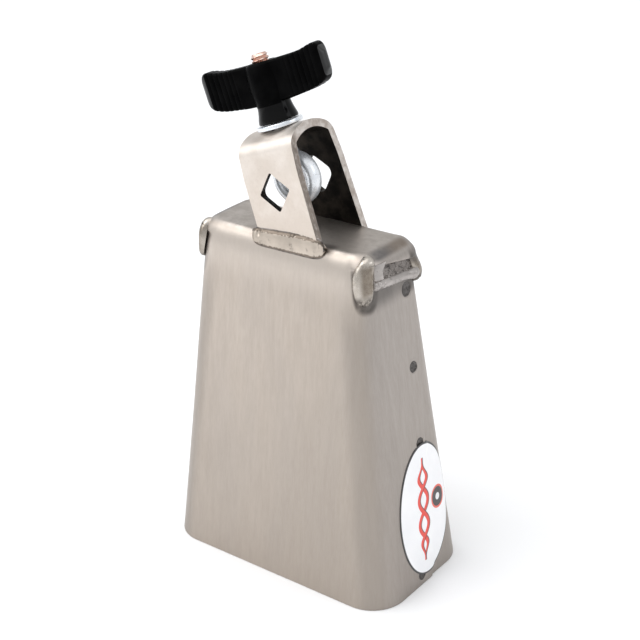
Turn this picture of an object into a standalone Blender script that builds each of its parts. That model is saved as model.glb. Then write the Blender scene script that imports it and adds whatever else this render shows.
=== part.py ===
"""Mountable cowbell: folded sheet-steel bell, welded strap bracket and eye-bolt rod clamp.

Frame: origin at the centre of the mouth rim plane, +Z up along the bell, X along
the wide faces, the front face towards -Y.  Units are metres; the driving
dimensions below are written in millimetres and multiplied by MM.
"""
import math

import bmesh
import bpy
import numpy as np
from mathutils import Matrix, Vector

MM = 0.001
FIT = 0.30            # clearance between neighbouring pieces

# bell shell
BELL_H = 130.0        # mouth plane to crown
MOUTH_HALF_W = 51.4
MOUTH_HALF_D = 28.4
TOP_HALF_W = 35.7     # where the straight walls would meet the crown plane
TOP_HALF_D = 14.7
SHEET = 1.2
R_FRONT = (13.6, 8.0)  # vertical edge radius, mouth and top
R_REAR = (13.0, 2.6)
CROWN_R = 3.6         # crown bend along the wide faces
CROWN_END_R = 4.5     # crown bend at the narrow ends
SHOULDER = 0.45       # soft belly of the sheet just under the crown bend
LAP_WIDTH = 14.0      # how far the rear flange reaches under the front flange
SEAM = ((0.0, 4.3), (60.0, 9.6), (90.0, 12.0), (114.0, 12.2), (130.0, 11.0))
LAP_END_Z = 114.0     # the lap runs out under the end weld

# spot welds along the lap, (Y, Z) on the side wall
SPOTS = ((8.1, 112.0), (7.2, 83.2), (4.6, 54.5), (1.4, 27.0), (-2.3, 4.2))
SPOT_R = 2.3
SPOT_RECESS_R = 2.65
SPOT_RECESS = 0.70

# corner tabs and end weld
TAB_Z = 121.4
TAB_HALF_H = 7.7
TAB_HALF_W = 2.9
TAB_T = 1.35
END_WELD_Z = 117.4
END_WELD_HALF_H = 1.9
END_WELD_T = 1.6

# strap bracket, in a frame tilted about Y
TILT = math.radians(19.26)
FOOT_X = 4.10         # where the clamp axis meets the crown
STRAP_W = 25.0
STRAP_T = 2.8
STRAP_TOP = 37.3
STRAP_HALF_FOOT = 13.6
STRAP_LEG_ANGLE = math.radians(2.17)
STRAP_NECK_ANGLE = math.radians(7.1)
STRAP_KNEE_Z = 23.0
STRAP_CORNER_R = 3.4
STRAP_CROWN_R = 17.5
ROD_HOLE_Z = 17.06    # centre of the diamond rod holes along the clamp axis
ROD_HOLE_HALF_DIAG = 7.0
ROD_HOLE_CORNER_R = 0.6
BOLT_HOLE_R = 3.52

# eye bolt, 1/4 in shank
EYE_Z = 18.7
EYE_R_OUT = 9.7
EYE_R_IN = 4.9
EYE_HALF_W = 3.1
SHANK_R = 3.175
SHANK_TOP = 63.0

# washer, wing knob and its insert
WASHER_R = 8.2
WASHER_T = 1.5
KNOB_TURN = math.radians(8.0)
KNOB_HALF_T = 3.1
BOSS_R_BASE = 7.1
BOSS_R_NECK = 6.0
INSERT_R = 4.5
INSERT_BORE_R = 3.48
INSERT_TOP = 56.0

# oval label on the +X side
LABEL_Y, LABEL_Z = 4.3, 28.4
LABEL_HALF_H, LABEL_HALF_W = 25.4, 12.8
LABEL_TILT = math.radians(6.3)
LABEL_T = 0.2


# ---------------------------------------------------------------- scene set-up
for old in list(bpy.data.objects):
    bpy.data.objects.remove(old, do_unlink=True)

PARTS = bpy.data.collections.new("cowbell")
CUTTERS = bpy.data.collections.new("cutters")
bpy.context.scene.collection.children.link(PARTS)
bpy.context.scene.collection.children.link(CUTTERS)


def material(name, colour, roughness, metallic):
    m = bpy.data.materials.new(name)
    m.use_nodes = True
    p = m.node_tree.nodes["Principled BSDF"]
    p.inputs["Base Color"].default_value = (*colour, 1.0)
    p.inputs["Roughness"].default_value = roughness
    p.inputs["Metallic"].default_value = metallic
    m.diffuse_color = (*colour, 1.0)
    return m


BRUSHED = material("brushed_steel", (0.46, 0.42, 0.38), 0.38, 1.0)
STRAP_STEEL = material("strap_steel", (0.62, 0.57, 0.52), 0.35, 1.0)
WELD = material("weld_metal", (0.40, 0.37, 0.35), 0.50, 1.0)
SPOT = material("spot_weld", (0.16, 0.15, 0.15), 0.60, 1.0)
ZINC = material("zinc_plate", (0.66, 0.70, 0.76), 0.25, 1.0)
BRASS = material("brass", (0.70, 0.52, 0.25), 0.35, 1.0)
BLACK = material("black_plastic", (0.012, 0.012, 0.012), 0.40, 0.0)
VINYL = material("label_vinyl", (0.85, 0.85, 0.84), 0.45, 0.0)


def empty(name, parent=None):
    e = bpy.data.objects.new(name, None)
    PARTS.objects.link(e)
    e.parent = parent
    return e


def add(name, mesh, mat, collection=PARTS, parent=None, smooth=None):
    ob = bpy.data.objects.new(name, mesh)
    collection.objects.link(ob)
    ob.parent = parent
    if mat is not None:
        mesh.materials.append(mat)
    if smooth:
        mesh.shade_smooth()
        mesh.set_sharp_from_angle(angle=math.radians(smooth))
    if collection is CUTTERS:
        ob.hide_render = True
        ob.display_type = "WIRE"
    return ob


def from_faces(name, verts, faces):
    """Closed mesh from lofted rings, faces turned outwards; verts in millimetres."""
    mesh = bpy.data.meshes.new(name)
    mesh.from_pydata([tuple(c * MM for c in v) for v in verts], [], faces)
    bm = bmesh.new()
    bm.from_mesh(mesh)
    bmesh.ops.recalc_face_normals(bm, faces=bm.faces)
    bm.to_mesh(mesh)
    bm.free()
    return mesh


def outline_solid(name, points, half, mat, collection=PARTS, parent=None, axes=None):
    """A flat outline extruded by +-half along its own normal, as a welded mesh."""
    curve = bpy.data.curves.new(name + "_outline", "CURVE")
    curve.dimensions = "2D"
    curve.fill_mode = "BOTH"
    curve.extrude = half * MM
    spline = curve.splines.new("POLY")
    spline.points.add(len(points) - 1)
    for p, (x, y) in zip(spline.points, points):
        p.co = (x * MM, y * MM, 0.0, 1.0)
    spline.use_cyclic_u = True
    guide = bpy.data.objects.new(name + "_guide", curve)
    bpy.context.scene.collection.objects.link(guide)
    bpy.context.view_layer.update()
    graph = bpy.context.evaluated_depsgraph_get()
    mesh = bpy.data.meshes.new_from_object(guide.evaluated_get(graph))
    bpy.data.objects.remove(guide, do_unlink=True)
    bm = bmesh.new()
    bm.from_mesh(mesh)
    bmesh.ops.remove_doubles(bm, verts=bm.verts, dist=1e-6)
    bmesh.ops.recalc_face_normals(bm, faces=bm.faces)
    if axes is not None:
        bm.transform(axes)
    bm.to_mesh(mesh)
    bm.free()
    mesh.materials.clear()
    return add(name, mesh, mat, collection, parent)


def turned(name, profile, mat, steps=40, closed=False, collection=PARTS, parent=None,
           smooth=35):
    """A profile of (radius, z) points, top to bottom down the outside, turned about Z."""
    mesh = bpy.data.meshes.new(name)
    n = len(profile)
    edges = [(i, i + 1) for i in range(n - 1)] + ([(n - 1, 0)] if closed else [])
    mesh.from_pydata([(r * MM, 0.0, z * MM) for r, z in profile], edges, [])
    ob = add(name, mesh, mat, collection, parent)
    s = ob.modifiers.new("turn", "SCREW")
    s.axis = "Z"
    s.angle = math.tau
    s.steps = s.render_steps = steps
    s.use_merge_vertices = True
    s.merge_threshold = 1e-6
    s.use_smooth_shade = bool(smooth)
    return ob


def cut(ob, tool, operation="DIFFERENCE"):
    b = ob.modifiers.new(operation.lower() + "_" + tool.name, "BOOLEAN")
    b.operation = operation
    b.solver = "EXACT"
    b.object = tool
    return b


def arc(cx, cy, r, a0, a1, n):
    return [(cx + r * math.cos(math.radians(a0 + (a1 - a0) * i / n)),
             cy + r * math.sin(math.radians(a0 + (a1 - a0) * i / n))) for i in range(n + 1)]


# ---------------------------------------------------------------- bell geometry
def lin(z, pair):
    return pair[0] + (pair[1] - pair[0]) * z / BELL_H


def section(z, inner=False):
    """Half width, half depth and the two vertical edge radii of a wall at height z."""
    a = lin(z, (MOUTH_HALF_W, TOP_HALF_W))
    b = lin(z, (MOUTH_HALF_D, TOP_HALF_D))
    rf, rr = lin(z, R_FRONT), lin(z, R_REAR)
    bend = BELL_H - CROWN_R
    b -= SHOULDER * math.exp(-max(bend - z, 0.0) / 6.0)
    t = SHEET if inner else 0.0
    ra, rb = CROWN_END_R - t, CROWN_R - t
    s = min(max((z - bend) / rb, 0.0), 1.0)
    drop = 1.0 - math.sqrt(max(1.0 - s * s, 0.0))
    a -= t + ra * drop
    b -= t + rb * drop
    rf = max(rf - t - rb * drop, 0.8)
    rr = max(rr - t - rb * drop, 0.4 if inner else 1.0)
    return a, b, rf, rr


def seam_y(z):
    y = float(np.interp(z, [p[0] for p in SEAM], [p[1] for p in SEAM]))
    a, b, rf, rr = section(z)
    return min(y, b - rr - 0.25)


def lap_step(z):
    return float(np.interp(z, (LAP_END_Z, LAP_END_Z + 4.5), (SHEET, 0.3)))


def ring(z, inner=False):
    """One closed outline of the wall.  The front flange laps outside the rear one."""
    a, b, rf, rr = section(z, inner)
    step = lap_step(z)
    ys = seam_y(min(z, BELL_H)) - (LAP_WIDTH if inner else 0.0)
    half = [(f * (a - rf), -b) for f in (0.0, 0.35, 0.7)]
    half += arc(a - rf, -b + rf, rf, -90, 0, 7)
    half += [(a, -b + rf + f * (ys + b - rf)) for f in (0.5, 1.0)]
    half += [(a - step, ys)]
    half += [(a - step, ys + 0.5 * (b - rr - ys))]
    half += arc(a - step - rr, b - rr, rr, 0, 90, 6)
    half += [(f * (a - step - rr), b) for f in (0.7, 0.35, 0.0)]
    left = [(-x, y) for x, y in half[1:-1]]
    return [(x, y, z) for x, y in half + left[::-1]]


def bell_mesh():
    rows = [0.0, 60.0, 90.0, 106.0, 114.0, 118.5, 122.5]
    bend = BELL_H - CROWN_R
    outer = [ring(z) for z in rows] + [
        ring(bend + CROWN_R * math.sin(math.radians(q))) for q in (0, 18, 36, 54, 72, 90)]
    rb = CROWN_R - SHEET
    inner = [ring(z, True) for z in rows] + [
        ring(bend + rb * math.sin(math.radians(q)), True) for q in (0, 18, 36, 54, 72, 90)]
    n = len(outer[0])
    verts, faces = [], []
    for r in outer + inner:
        verts += r
    k = len(outer)
    for base in (0, k):
        for j in range(k - 1):
            for i in range(n):
                p, q = (base + j) * n, (base + j + 1) * n
                faces.append((p + i, p + (i + 1) % n, q + (i + 1) % n, q + i))
    for i in range(n):                                   # mouth rim
        faces.append((i, (i + 1) % n, k * n + (i + 1) % n, k * n + i))
    faces.append(tuple((k - 1) * n + i for i in range(n)))      # crown
    faces.append(tuple((2 * k - 1) * n + i for i in range(n)))  # underside of the crown
    return from_faces("bell_shell", verts, faces)


SIDE_N = Vector((BELL_H, 0.0, MOUTH_HALF_W - TOP_HALF_W)).normalized()


def side_frame(y, z, side):
    """Frame on the outer face of the front flange: local Z out of the wall."""
    n = Vector((side * SIDE_N.x, 0.0, SIDE_N.z))
    yaxis = Vector((0.0, 1.0, 0.0))
    x = yaxis.cross(n)
    m = Matrix((x, yaxis, n)).transposed().to_4x4()
    a = lin(z, (MOUTH_HALF_W, TOP_HALF_W))
    m.translation = Vector((side * a, y, z)) * MM
    return m


def disc_mesh(name, places, radius, top_radius, low, high, seg):
    bm = bmesh.new()
    for side, y, z in places:
        m = side_frame(y, z, side) @ Matrix.Translation((0, 0, 0.5 * (low + high) * MM))
        bmesh.ops.create_cone(bm, cap_ends=True, segments=seg, radius1=radius * MM,
                              radius2=top_radius * MM, depth=(high - low) * MM, matrix=m)
    mesh = bpy.data.meshes.new(name)
    bm.to_mesh(mesh)
    bm.free()
    return mesh


shell = add("bell_shell", bell_mesh(), BRUSHED, smooth=35)
dimples = add("spot_dimple_cutter", disc_mesh(
    "spot_dimple_cutter", [(side, y, z) for side in (-1, 1) for y, z in SPOTS],
    SPOT_RECESS_R, SPOT_RECESS_R, -SPOT_RECESS, 3.0, 16), None, CUTTERS)
cut(shell, dimples)
for side, hand in ((1, "right"), (-1, "left")):
    for i, (y, z) in enumerate(SPOTS):
        name = f"spot_weld_{hand}_{i + 1}"
        add(name, disc_mesh(name, [(side, y, z)], SPOT_R, SPOT_R * 0.86, -0.38, -0.02, 16), SPOT)


# ------------------------------------------------ patches that hug the bell wall
def wall_patch(name, mat, surface, centre, half, gap, thick, power, rings, seg, edge=0.25):
    """Closed pad over a superellipse region of a wall surface(u, v) -> point, normal."""
    verts, faces = [], []
    for layer in (0, 1):
        for j in range(rings + 1):
            rho = j / rings
            t = gap
            if layer:
                t += edge + (thick - edge) * math.sqrt(max(1.0 - rho ** 3, 0.0))
            for i in range(seg if j else 1):
                q = math.tau * i / seg
                c, s = math.cos(q), math.sin(q)
                u = centre[0] + half[0] * rho * math.copysign(abs(c) ** (2 / power), c)
                v = centre[1] + half[1] * rho * math.copysign(abs(s) ** (2 / power), s)
                p, n = surface(u, v)
                verts.append(tuple(p[k] + n[k] * t for k in range(3)))
    per = 1 + rings * seg
    for layer in (0, 1):
        o = layer * per
        for i in range(seg):
            faces.append((o, o + 1 + i, o + 1 + (i + 1) % seg))
        for j in range(rings - 1):
            for i in range(seg):
                p, q = o + 1 + j * seg, o + 1 + (j + 1) * seg
                faces.append((p + i, q + i, q + (i + 1) % seg, p + (i + 1) % seg))
    p, q = 1 + (rings - 1) * seg, per + 1 + (rings - 1) * seg
    for i in range(seg):
        faces.append((p + i, p + (i + 1) % seg, q + (i + 1) % seg, q + i))
    return add(name, from_faces(name, verts, faces), mat, smooth=40)


def numeric(surface):
    def f(u, v):
        e = 0.05
        p = np.array(surface(u, v))
        du = np.array(surface(u + e, v)) - np.array(surface(u - e, v))
        dv = np.array(surface(u, v + e)) - np.array(surface(u, v - e))
        n = np.cross(du, dv)
        n /= np.linalg.norm(n)
        if n @ np.array((p[0], p[1], 0.0)) < 0:
            n = -n
        return p, n
    return f


def corner_surface(sx, sy):
    """u = arc length from the middle of the vertical edge (towards the side), v = height."""
    def f(u, v):
        a, b, rf, rr = section(v)
        r = rf if sy < 0 else rr
        w = a if sy < 0 else a - lap_step(v)
        # walk along face, arc, side
        half_arc = r * math.pi / 4
        if u > half_arc:
            return (sx * w, sy * (b - r - (u - half_arc)), v)
        if u < -half_arc:
            return (sx * (w - r + (u + half_arc)), sy * b, v)
        q = math.pi / 4 - u / r
        return (sx * (w - r + r * math.cos(q)), sy * (b - r + r * math.sin(q)), v)
    return numeric(f)


for sy, fore in ((-1, "front"), (1, "rear")):
    for sx, hand in ((1, "right"), (-1, "left")):
        wall_patch(f"corner_tab_{fore}_{hand}", WELD, corner_surface(sx, sy),
                   (0.4 if sy < 0 else 0.2, TAB_Z), (TAB_HALF_W, TAB_HALF_H), FIT, TAB_T, 2.6, 4, 24)


def side_surface(sx):
    def f(u, v):
        a = section(v)[0]
        x = a
        ys = seam_y(v)
        if u > ys:
            x = a - lap_step(v)
        return (sx * x, u, v)

    def g(u, v):
        p = np.array(f(u, v))
        return p, np.array((sx * SIDE_N.x, 0.0, SIDE_N.z))
    return g


for sx, hand in ((1, "right"), (-1, "left")):
    wall_patch(f"end_weld_{hand}", WELD, side_surface(sx), (1.7, END_WELD_Z),
               (8.3, END_WELD_HALF_H), FIT, END_WELD_T, 4.0, 4, 28)


def label_surface(u, v):
    """u, v along the short and long axes of the oval, wrapped on the lapped side wall."""
    y = LABEL_Y + u * math.cos(LABEL_TILT) + v * math.sin(LABEL_TILT)
    z = LABEL_Z + v * math.cos(LABEL_TILT) - u * math.sin(LABEL_TILT)
    a, b, rf, rr = section(z)
    ys = seam_y(z)
    x = a - float(np.interp(y, (ys + 0.4, ys + 3.0), (0.0, lap_step(z))))
    over = y - (b - rr)
    if over > 0:
        x -= rr - math.sqrt(rr * rr - over * over)
    under = -y - (b - rf)
    if under > 0:
        x -= rf - math.sqrt(rf * rf - under * under)
    return (x, y, z)


wall_patch("side_label", VINYL, numeric(label_surface), (0.0, 0.0),
           (LABEL_HALF_W, LABEL_HALF_H), FIT, LABEL_T, 2.0, 8, 48, edge=LABEL_T)


# ---------------------------------------------------------------- bracket frame
clamp_axis = empty("clamp_axis")
clamp_axis.location = (FOOT_X * MM, 0.0, BELL_H * MM)
clamp_axis.rotation_euler = (0.0, -TILT, 0.0)

# axes that lay an outline in the Y-Z plane, or in the X-Z plane
LAY_YZ = Matrix(((0, 0, 1, 0), (1, 0, 0, 0), (0, 1, 0, 0), (0, 0, 0, 1)))
LAY_XZ = Matrix(((1, 0, 0, 0), (0, 0, -1, 0), (0, 1, 0, 0), (0, 0, 0, 1)))


def strap_path(off):
    """Right half of the strap, foot to apex: leaning leg, tight corner, crowned top.
    off is the inward offset of the line: 0 outside, STRAP_T inside."""
    a1, a2 = STRAP_LEG_ANGLE, STRAP_NECK_ANGLE
    knee_x, knee_z = STRAP_HALF_FOOT - STRAP_KNEE_Z * math.tan(a1), STRAP_KNEE_Z
    c1 = knee_x * math.cos(a1) + knee_z * math.sin(a1) - off
    c2 = knee_x * math.cos(a2) + knee_z * math.sin(a2) - off
    foot = -6.0
    pts = [((c1 - foot * math.sin(a1)) / math.cos(a1), foot)]
    det = math.cos(a1) * math.sin(a2) - math.sin(a1) * math.cos(a2)
    pts.append(((c1 * math.sin(a2) - c2 * math.sin(a1)) / det,
                (math.cos(a1) * c2 - math.cos(a2) * c1) / det))
    # corner centre: inside the neck line and inside the crowned top
    low = STRAP_TOP - STRAP_CROWN_R
    k = c2 + off - STRAP_CORNER_R - low * math.sin(a2)
    w = STRAP_CROWN_R - STRAP_CORNER_R
    q = math.acos(k / w)
    cx, cz = w * math.cos(a2 + q), low + w * math.sin(a2 + q)
    turn = math.degrees(a2 + q)
    pts += arc(cx, cz, STRAP_CORNER_R - off, math.degrees(a2), turn, 5)
    pts += arc(0.0, low, STRAP_CROWN_R - off, turn, 90.0, 6)[1:-1]
    return pts


def strap_outline():
    outer, inner = strap_path(0.0), strap_path(STRAP_T)
    apex_out, apex_in = [(0.0, STRAP_TOP)], [(0.0, STRAP_TOP - STRAP_T)]
    return (outer + apex_out + [(-x, z) for x, z in outer[::-1]]
            + [(-x, z) for x, z in inner] + apex_in + inner[::-1])


bracket = outline_solid("mounting_bracket", strap_outline(), STRAP_W / 2, STRAP_STEEL,
                        parent=clamp_axis, axes=LAY_YZ)

foot_bm = bmesh.new()
bmesh.ops.create_cube(foot_bm, size=1.0, matrix=Matrix.Translation(
    (0, 0, (BELL_H + FIT - 15) * MM)) @ Matrix.Diagonal((0.12, 0.08, 0.03, 1.0)))
foot_mesh = bpy.data.meshes.new("foot_cutter")
foot_bm.to_mesh(foot_mesh)
foot_bm.free()
foot_cutter = add("foot_cutter", foot_mesh, None, CUTTERS)
cut(bracket, foot_cutter)


def rounded_diamond(half, r):
    d = half - r * math.sqrt(2)
    pts = []
    for k, (cx, cy) in enumerate(((d, 0), (0, d), (-d, 0), (0, -d))):
        pts += arc(cx, cy, r, -45 + 90 * k, 45 + 90 * k, 4)
    return pts


diamond = outline_solid("rod_hole_cutter",
                        [(x, z + ROD_HOLE_Z) for x, z in
                         rounded_diamond(ROD_HOLE_HALF_DIAG, ROD_HOLE_CORNER_R)],
                        25.0, None, CUTTERS, clamp_axis, LAY_XZ)
cut(bracket, diamond)
bolt_hole = turned("bolt_hole_cutter", [(0, 42), (BOLT_HOLE_R, 42), (BOLT_HOLE_R, 30), (0, 30)],
                   None, 32, collection=CUTTERS, parent=clamp_axis, smooth=None)
cut(bracket, bolt_hole)


# ---------------------------------------------------------------- bracket welds
def bead(name, sy, x0, x1):
    """Fillet along the strap foot, over the crown bend, thinning to both ends."""
    bend = BELL_H - CROWN_R
    cy = TOP_HALF_D - SHOULDER - CROWN_R          # centre of the crown bend
    rg = CROWN_R + FIT + 0.08
    stations = 14
    verts, faces = [], []
    count = 0
    for i in range(stations + 1):
        f = i / stations
        x = x0 + (x1 - x0) * (0.5 - 0.5 * math.cos(math.pi * f))
        w = 0.18 + 0.82 * min(1.0, math.sqrt(max(1 - (2 * f - 1) ** 6, 0.0)))
        sec = []
        for q in np.linspace(50.0, 4.0, 5):      # hugging the crown bend
            sec.append((cy + rg * math.cos(math.radians(q)), bend + rg * math.sin(math.radians(q))))
        hug_low = sec[-1]
        top_z = BELL_H + 0.2 + 2.4 * w
        # outer skin back up to the strap, clear of its leaning outer face
        leg_y = STRAP_HALF_FOOT + FIT + 0.12
        skin = [(hug_low[0] + 0.45 * w + 0.1, hug_low[1] + 0.15),
                (hug_low[0] + 0.75 * w + 0.1, hug_low[1] + 1.6),
                (hug_low[0] + 0.55 * w + 0.1, BELL_H + 0.2 + 0.3 * w),
                (leg_y + 0.45 * w + 0.1, BELL_H + 0.2 + 1.7 * w),
                (leg_y + 0.1 * w, top_z)]
        first = (leg_y, BELL_H - 0.3)
        loop = [first] + [p for p in sec if p[0] > leg_y + 0.02] + skin
        # keep the same count on every station
        loop = [first] + sec[2:] + skin
        count = len(loop)
        verts += [(x, sy * y, z) for y, z in loop]
    for i in range(stations):
        for k in range(count):
            p, q = i * count, (i + 1) * count
            faces.append((p + k, p + (k + 1) % count, q + (k + 1) % count, q + k))
    faces.append(tuple(range(count)))
    faces.append(tuple(stations * count + k for k in range(count)))
    return add(name, from_faces(name, verts, faces), WELD, smooth=40)


bead("bracket_weld_front", -1, -10.6, 20.4)
bead("bracket_weld_rear", 1, -8.6, 16.4)

# ---------------------------------------------------------------- eye bolt
eye_mid, eye_half = (EYE_R_OUT + EYE_R_IN) / 2, (EYE_R_OUT - EYE_R_IN) / 2
eye_profile = [(eye_mid + eye_half * math.cos(q), EYE_HALF_W * math.sin(q))
               for q in (math.tau * k / 16 for k in range(16))]
eye = turned("eye_bolt", eye_profile, ZINC, 40, closed=True, parent=clamp_axis)
eye.location = (0.0, 0.0, EYE_Z * MM)
eye.rotation_euler = (math.radians(90), 0.0, 0.0)
shank = turned("shank_tool", [(0, SHANK_TOP), (SHANK_R - 0.55, SHANK_TOP),
                              (SHANK_R, SHANK_TOP - 0.6), (SHANK_R, EYE_Z + 11.4),
                              (SHANK_R + 0.35, EYE_Z + 10.2), (SHANK_R + 1.1, EYE_Z + 9.0),
                              (SHANK_R + 1.1, EYE_Z + 7.3), (0, EYE_Z + 7.3)],
               None, 24, collection=CUTTERS, parent=clamp_axis)
cut(eye, shank, "UNION")

# ---------------------------------------------------------------- washer
w0 = STRAP_TOP + FIT
w1 = w0 + WASHER_T
turned("flat_washer", [(SHANK_R + FIT + 0.05, w1), (WASHER_R - 0.3, w1), (WASHER_R, w1 - 0.3),
                       (WASHER_R, w0 + 0.3), (WASHER_R - 0.3, w0), (SHANK_R + FIT + 0.05, w0)],
       ZINC, 40, closed=True, parent=clamp_axis)

# ---------------------------------------------------------------- wing knob
knob_pivot = empty("knob_pivot", clamp_axis)
knob_pivot.rotation_euler = (0.0, 0.0, KNOB_TURN)
k0 = w1 + FIT


def wing_outline():
    """Long bar with rounded lower corners and a small horn at each upper end."""
    right = [(9.0, 60.4), (14.0, 60.8), (17.6, 61.3), (20.4, 62.1), (22.4, 62.5), (23.8, 62.1),
             (25.0, 60.4), (25.7, 57.2), (26.0, 53.6), (25.6, 51.5), (24.3, 49.8), (22.2, 48.7),
             (18.0, 47.7), (12.5, 46.8), (7.0, 46.2)]
    left = [(-x, z) for x, z in right[::-1]]
    return right + left


knob = outline_solid("wing_knob", wing_outline(), KNOB_HALF_T, BLACK, parent=knob_pivot,
                     axes=LAY_XZ)
bev = knob.modifiers.new("edges", "BEVEL")
bev.width = 1.1 * MM
bev.segments = 2
bev.limit_method = "ANGLE"
bev.angle_limit = math.radians(60)
boss = turned("boss_tool", [(0, 60.2), (5.2, 60.2), (6.3, 59.2), (6.6, 52.0), (BOSS_R_NECK + 0.1, 48.0),
                            (BOSS_R_NECK, 45.2), (BOSS_R_NECK + 0.3, 43.0), (BOSS_R_BASE - 0.2, k0 + 0.9),
                            (BOSS_R_BASE, k0), (0, k0)],
              None, 36, collection=CUTTERS, parent=knob_pivot)
cut(knob, boss, "UNION")
bore = turned("insert_bore_cutter", [(0, 66), (SHANK_R + FIT + 0.05, 66), (SHANK_R + FIT + 0.05, INSERT_TOP + FIT),
                                     (INSERT_R + FIT, INSERT_TOP + FIT), (INSERT_R + FIT, 30), (0, 30)],
              None, 28, collection=CUTTERS, parent=knob_pivot, smooth=None)
cut(knob, bore)

# ---------------------------------------------------------------- threaded insert
i0 = k0 + 0.15
ribs = [(INSERT_BORE_R, INSERT_TOP), (INSERT_R - 0.3, INSERT_TOP), (INSERT_R, INSERT_TOP - 0.4),
        (INSERT_R, 51.5), (INSERT_R - 0.6, 51.0), (INSERT_R - 0.6, 49.2), (INSERT_R, 48.7),
        (INSERT_R, 44.2), (INSERT_R - 0.6, 43.7), (INSERT_R - 0.6, 42.2), (INSERT_R, 41.7),
        (INSERT_R, i0), (INSERT_BORE_R, i0)]
turned("threaded_insert", ribs, BRASS, 28, closed=True, parent=knob_pivot)

bpy.context.view_layer.update()
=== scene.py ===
import bpy, bmesh, math
import numpy as np
from mathutils import Matrix, Vector, noise


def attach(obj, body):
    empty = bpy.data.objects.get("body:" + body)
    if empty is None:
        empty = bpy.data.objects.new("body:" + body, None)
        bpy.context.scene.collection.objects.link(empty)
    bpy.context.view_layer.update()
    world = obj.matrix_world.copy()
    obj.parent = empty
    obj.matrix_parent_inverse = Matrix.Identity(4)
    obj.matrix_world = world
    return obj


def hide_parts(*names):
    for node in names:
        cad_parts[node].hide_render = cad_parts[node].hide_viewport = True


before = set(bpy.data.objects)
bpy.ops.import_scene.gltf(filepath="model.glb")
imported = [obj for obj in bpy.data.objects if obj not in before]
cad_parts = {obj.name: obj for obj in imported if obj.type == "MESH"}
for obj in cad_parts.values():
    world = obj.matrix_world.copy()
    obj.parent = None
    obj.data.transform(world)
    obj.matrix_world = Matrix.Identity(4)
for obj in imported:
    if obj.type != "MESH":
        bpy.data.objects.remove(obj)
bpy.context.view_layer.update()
MM = 0.001

# ------------------------------------------------------------------ dimensions (mm)
BELL_H = 130.0
MOUTH_HALF_W, MOUTH_HALF_D = 51.4, 28.4
TOP_HALF_W, TOP_HALF_D = 35.7, 14.7
SHEET = 1.2
R_FRONT, R_REAR = (13.6, 8.0), (13.0, 2.6)
CROWN_R, CROWN_END_R = 3.6, 4.5
BEND_H, BEND_IN = 20.0, 4.05   # the wide faces roll in over the top 20 mm
LAP_WIDTH = 14.0
SEAM = ((0.0, 4.3), (60.0, 9.6), (90.0, 12.0), (114.0, 12.2), (130.0, 11.0))
SPOTS = ((8.1, 112.0), (7.2, 83.2), (5.9, 54.0), (1.4, 27.0), (-1.8, 4.1))
TILT = math.radians(19.26)
FOOT_X = 4.10
STRAP_W, STRAP_T, STRAP_TOP = 25.0, 2.8, 37.3
STRAP_HALF_FOOT, STRAP_KNEE_Z, STRAP_CORNER_R, STRAP_CROWN_R = 13.6, 23.0, 3.4, 17.5
STRAP_LEG_ANGLE, STRAP_NECK_ANGLE = math.radians(2.17), math.radians(7.1)
ROD_Z, ROD_HALF_DIAG = 17.06, 7.0
EYE_Z, EYE_R_OUT, EYE_R_IN, EYE_HALF_W = 18.7, 9.7, 4.9, 3.1
SHANK_R, SHANK_TOP, PITCH = 3.175, 63.0, 1.27
WASHER_R, WASHER_T = 8.2, 1.5
KNOB_TURN = math.radians(8.0)
LABEL_Y, LABEL_Z, LABEL_HH, LABEL_HW = 4.3, 28.4, 25.4, 15.7
LABEL_TILT = math.radians(6.3)

# ------------------------------------------------------------------ helpers


def lerp(a, b, f):
    return a + (b - a) * f


def sstep(x, a, b):
    t = np.clip((np.asarray(x, float) - a) / (b - a), 0, 1)
    return t * t * (3 - 2 * t)


def nz(x, y, z, s, seed=0.0):
    """Smooth noise of about -1..1 at feature size s (mm)."""
    return noise.noise(Vector((x / s + seed, y / s - seed, z / s + 2 * seed)))


def make(name, verts, faces, mat, sharp=35, mm=True, matrix=None):
    me = bpy.data.meshes.new(name)
    k = MM if mm else 1.0
    me.from_pydata([(v[0] * k, v[1] * k, v[2] * k) for v in verts], [], faces)
    bm = bmesh.new()
    bm.from_mesh(me)
    bmesh.ops.remove_doubles(bm, verts=bm.verts, dist=2e-7)
    bmesh.ops.recalc_face_normals(bm, faces=bm.faces)
    if matrix is not None:
        bm.transform(matrix)
    bm.to_mesh(me)
    bm.free()
    ob = bpy.data.objects.new(name, me)
    bpy.context.scene.collection.objects.link(ob)
    for m in (mat if isinstance(mat, (list, tuple)) else [mat]):
        me.materials.append(m)
    me.shade_smooth()
    if sharp:
        me.set_sharp_from_angle(angle=math.radians(sharp))
    return ob


def apply_all(ob):
    bpy.context.view_layer.update()
    dg = bpy.context.evaluated_depsgraph_get()
    me = bpy.data.meshes.new_from_object(ob.evaluated_get(dg))
    old = ob.data
    ob.modifiers.clear()
    ob.data = me
    if old.users == 0:
        bpy.data.meshes.remove(old)
    return ob


def piece(ob, body, slot, *nodes):
    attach(ob, body)
    if nodes:
        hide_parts(*nodes)
    return ob


def grid_faces(rows, n, closed=True, base=0):
    f = []
    for j in range(rows - 1):
        for i in range(n if closed else n - 1):
            k = (i + 1) % n
            f.append((base + j * n + i, base + j * n + k, base + (j + 1) * n + k, base + (j + 1) * n + i))
    return f


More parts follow.
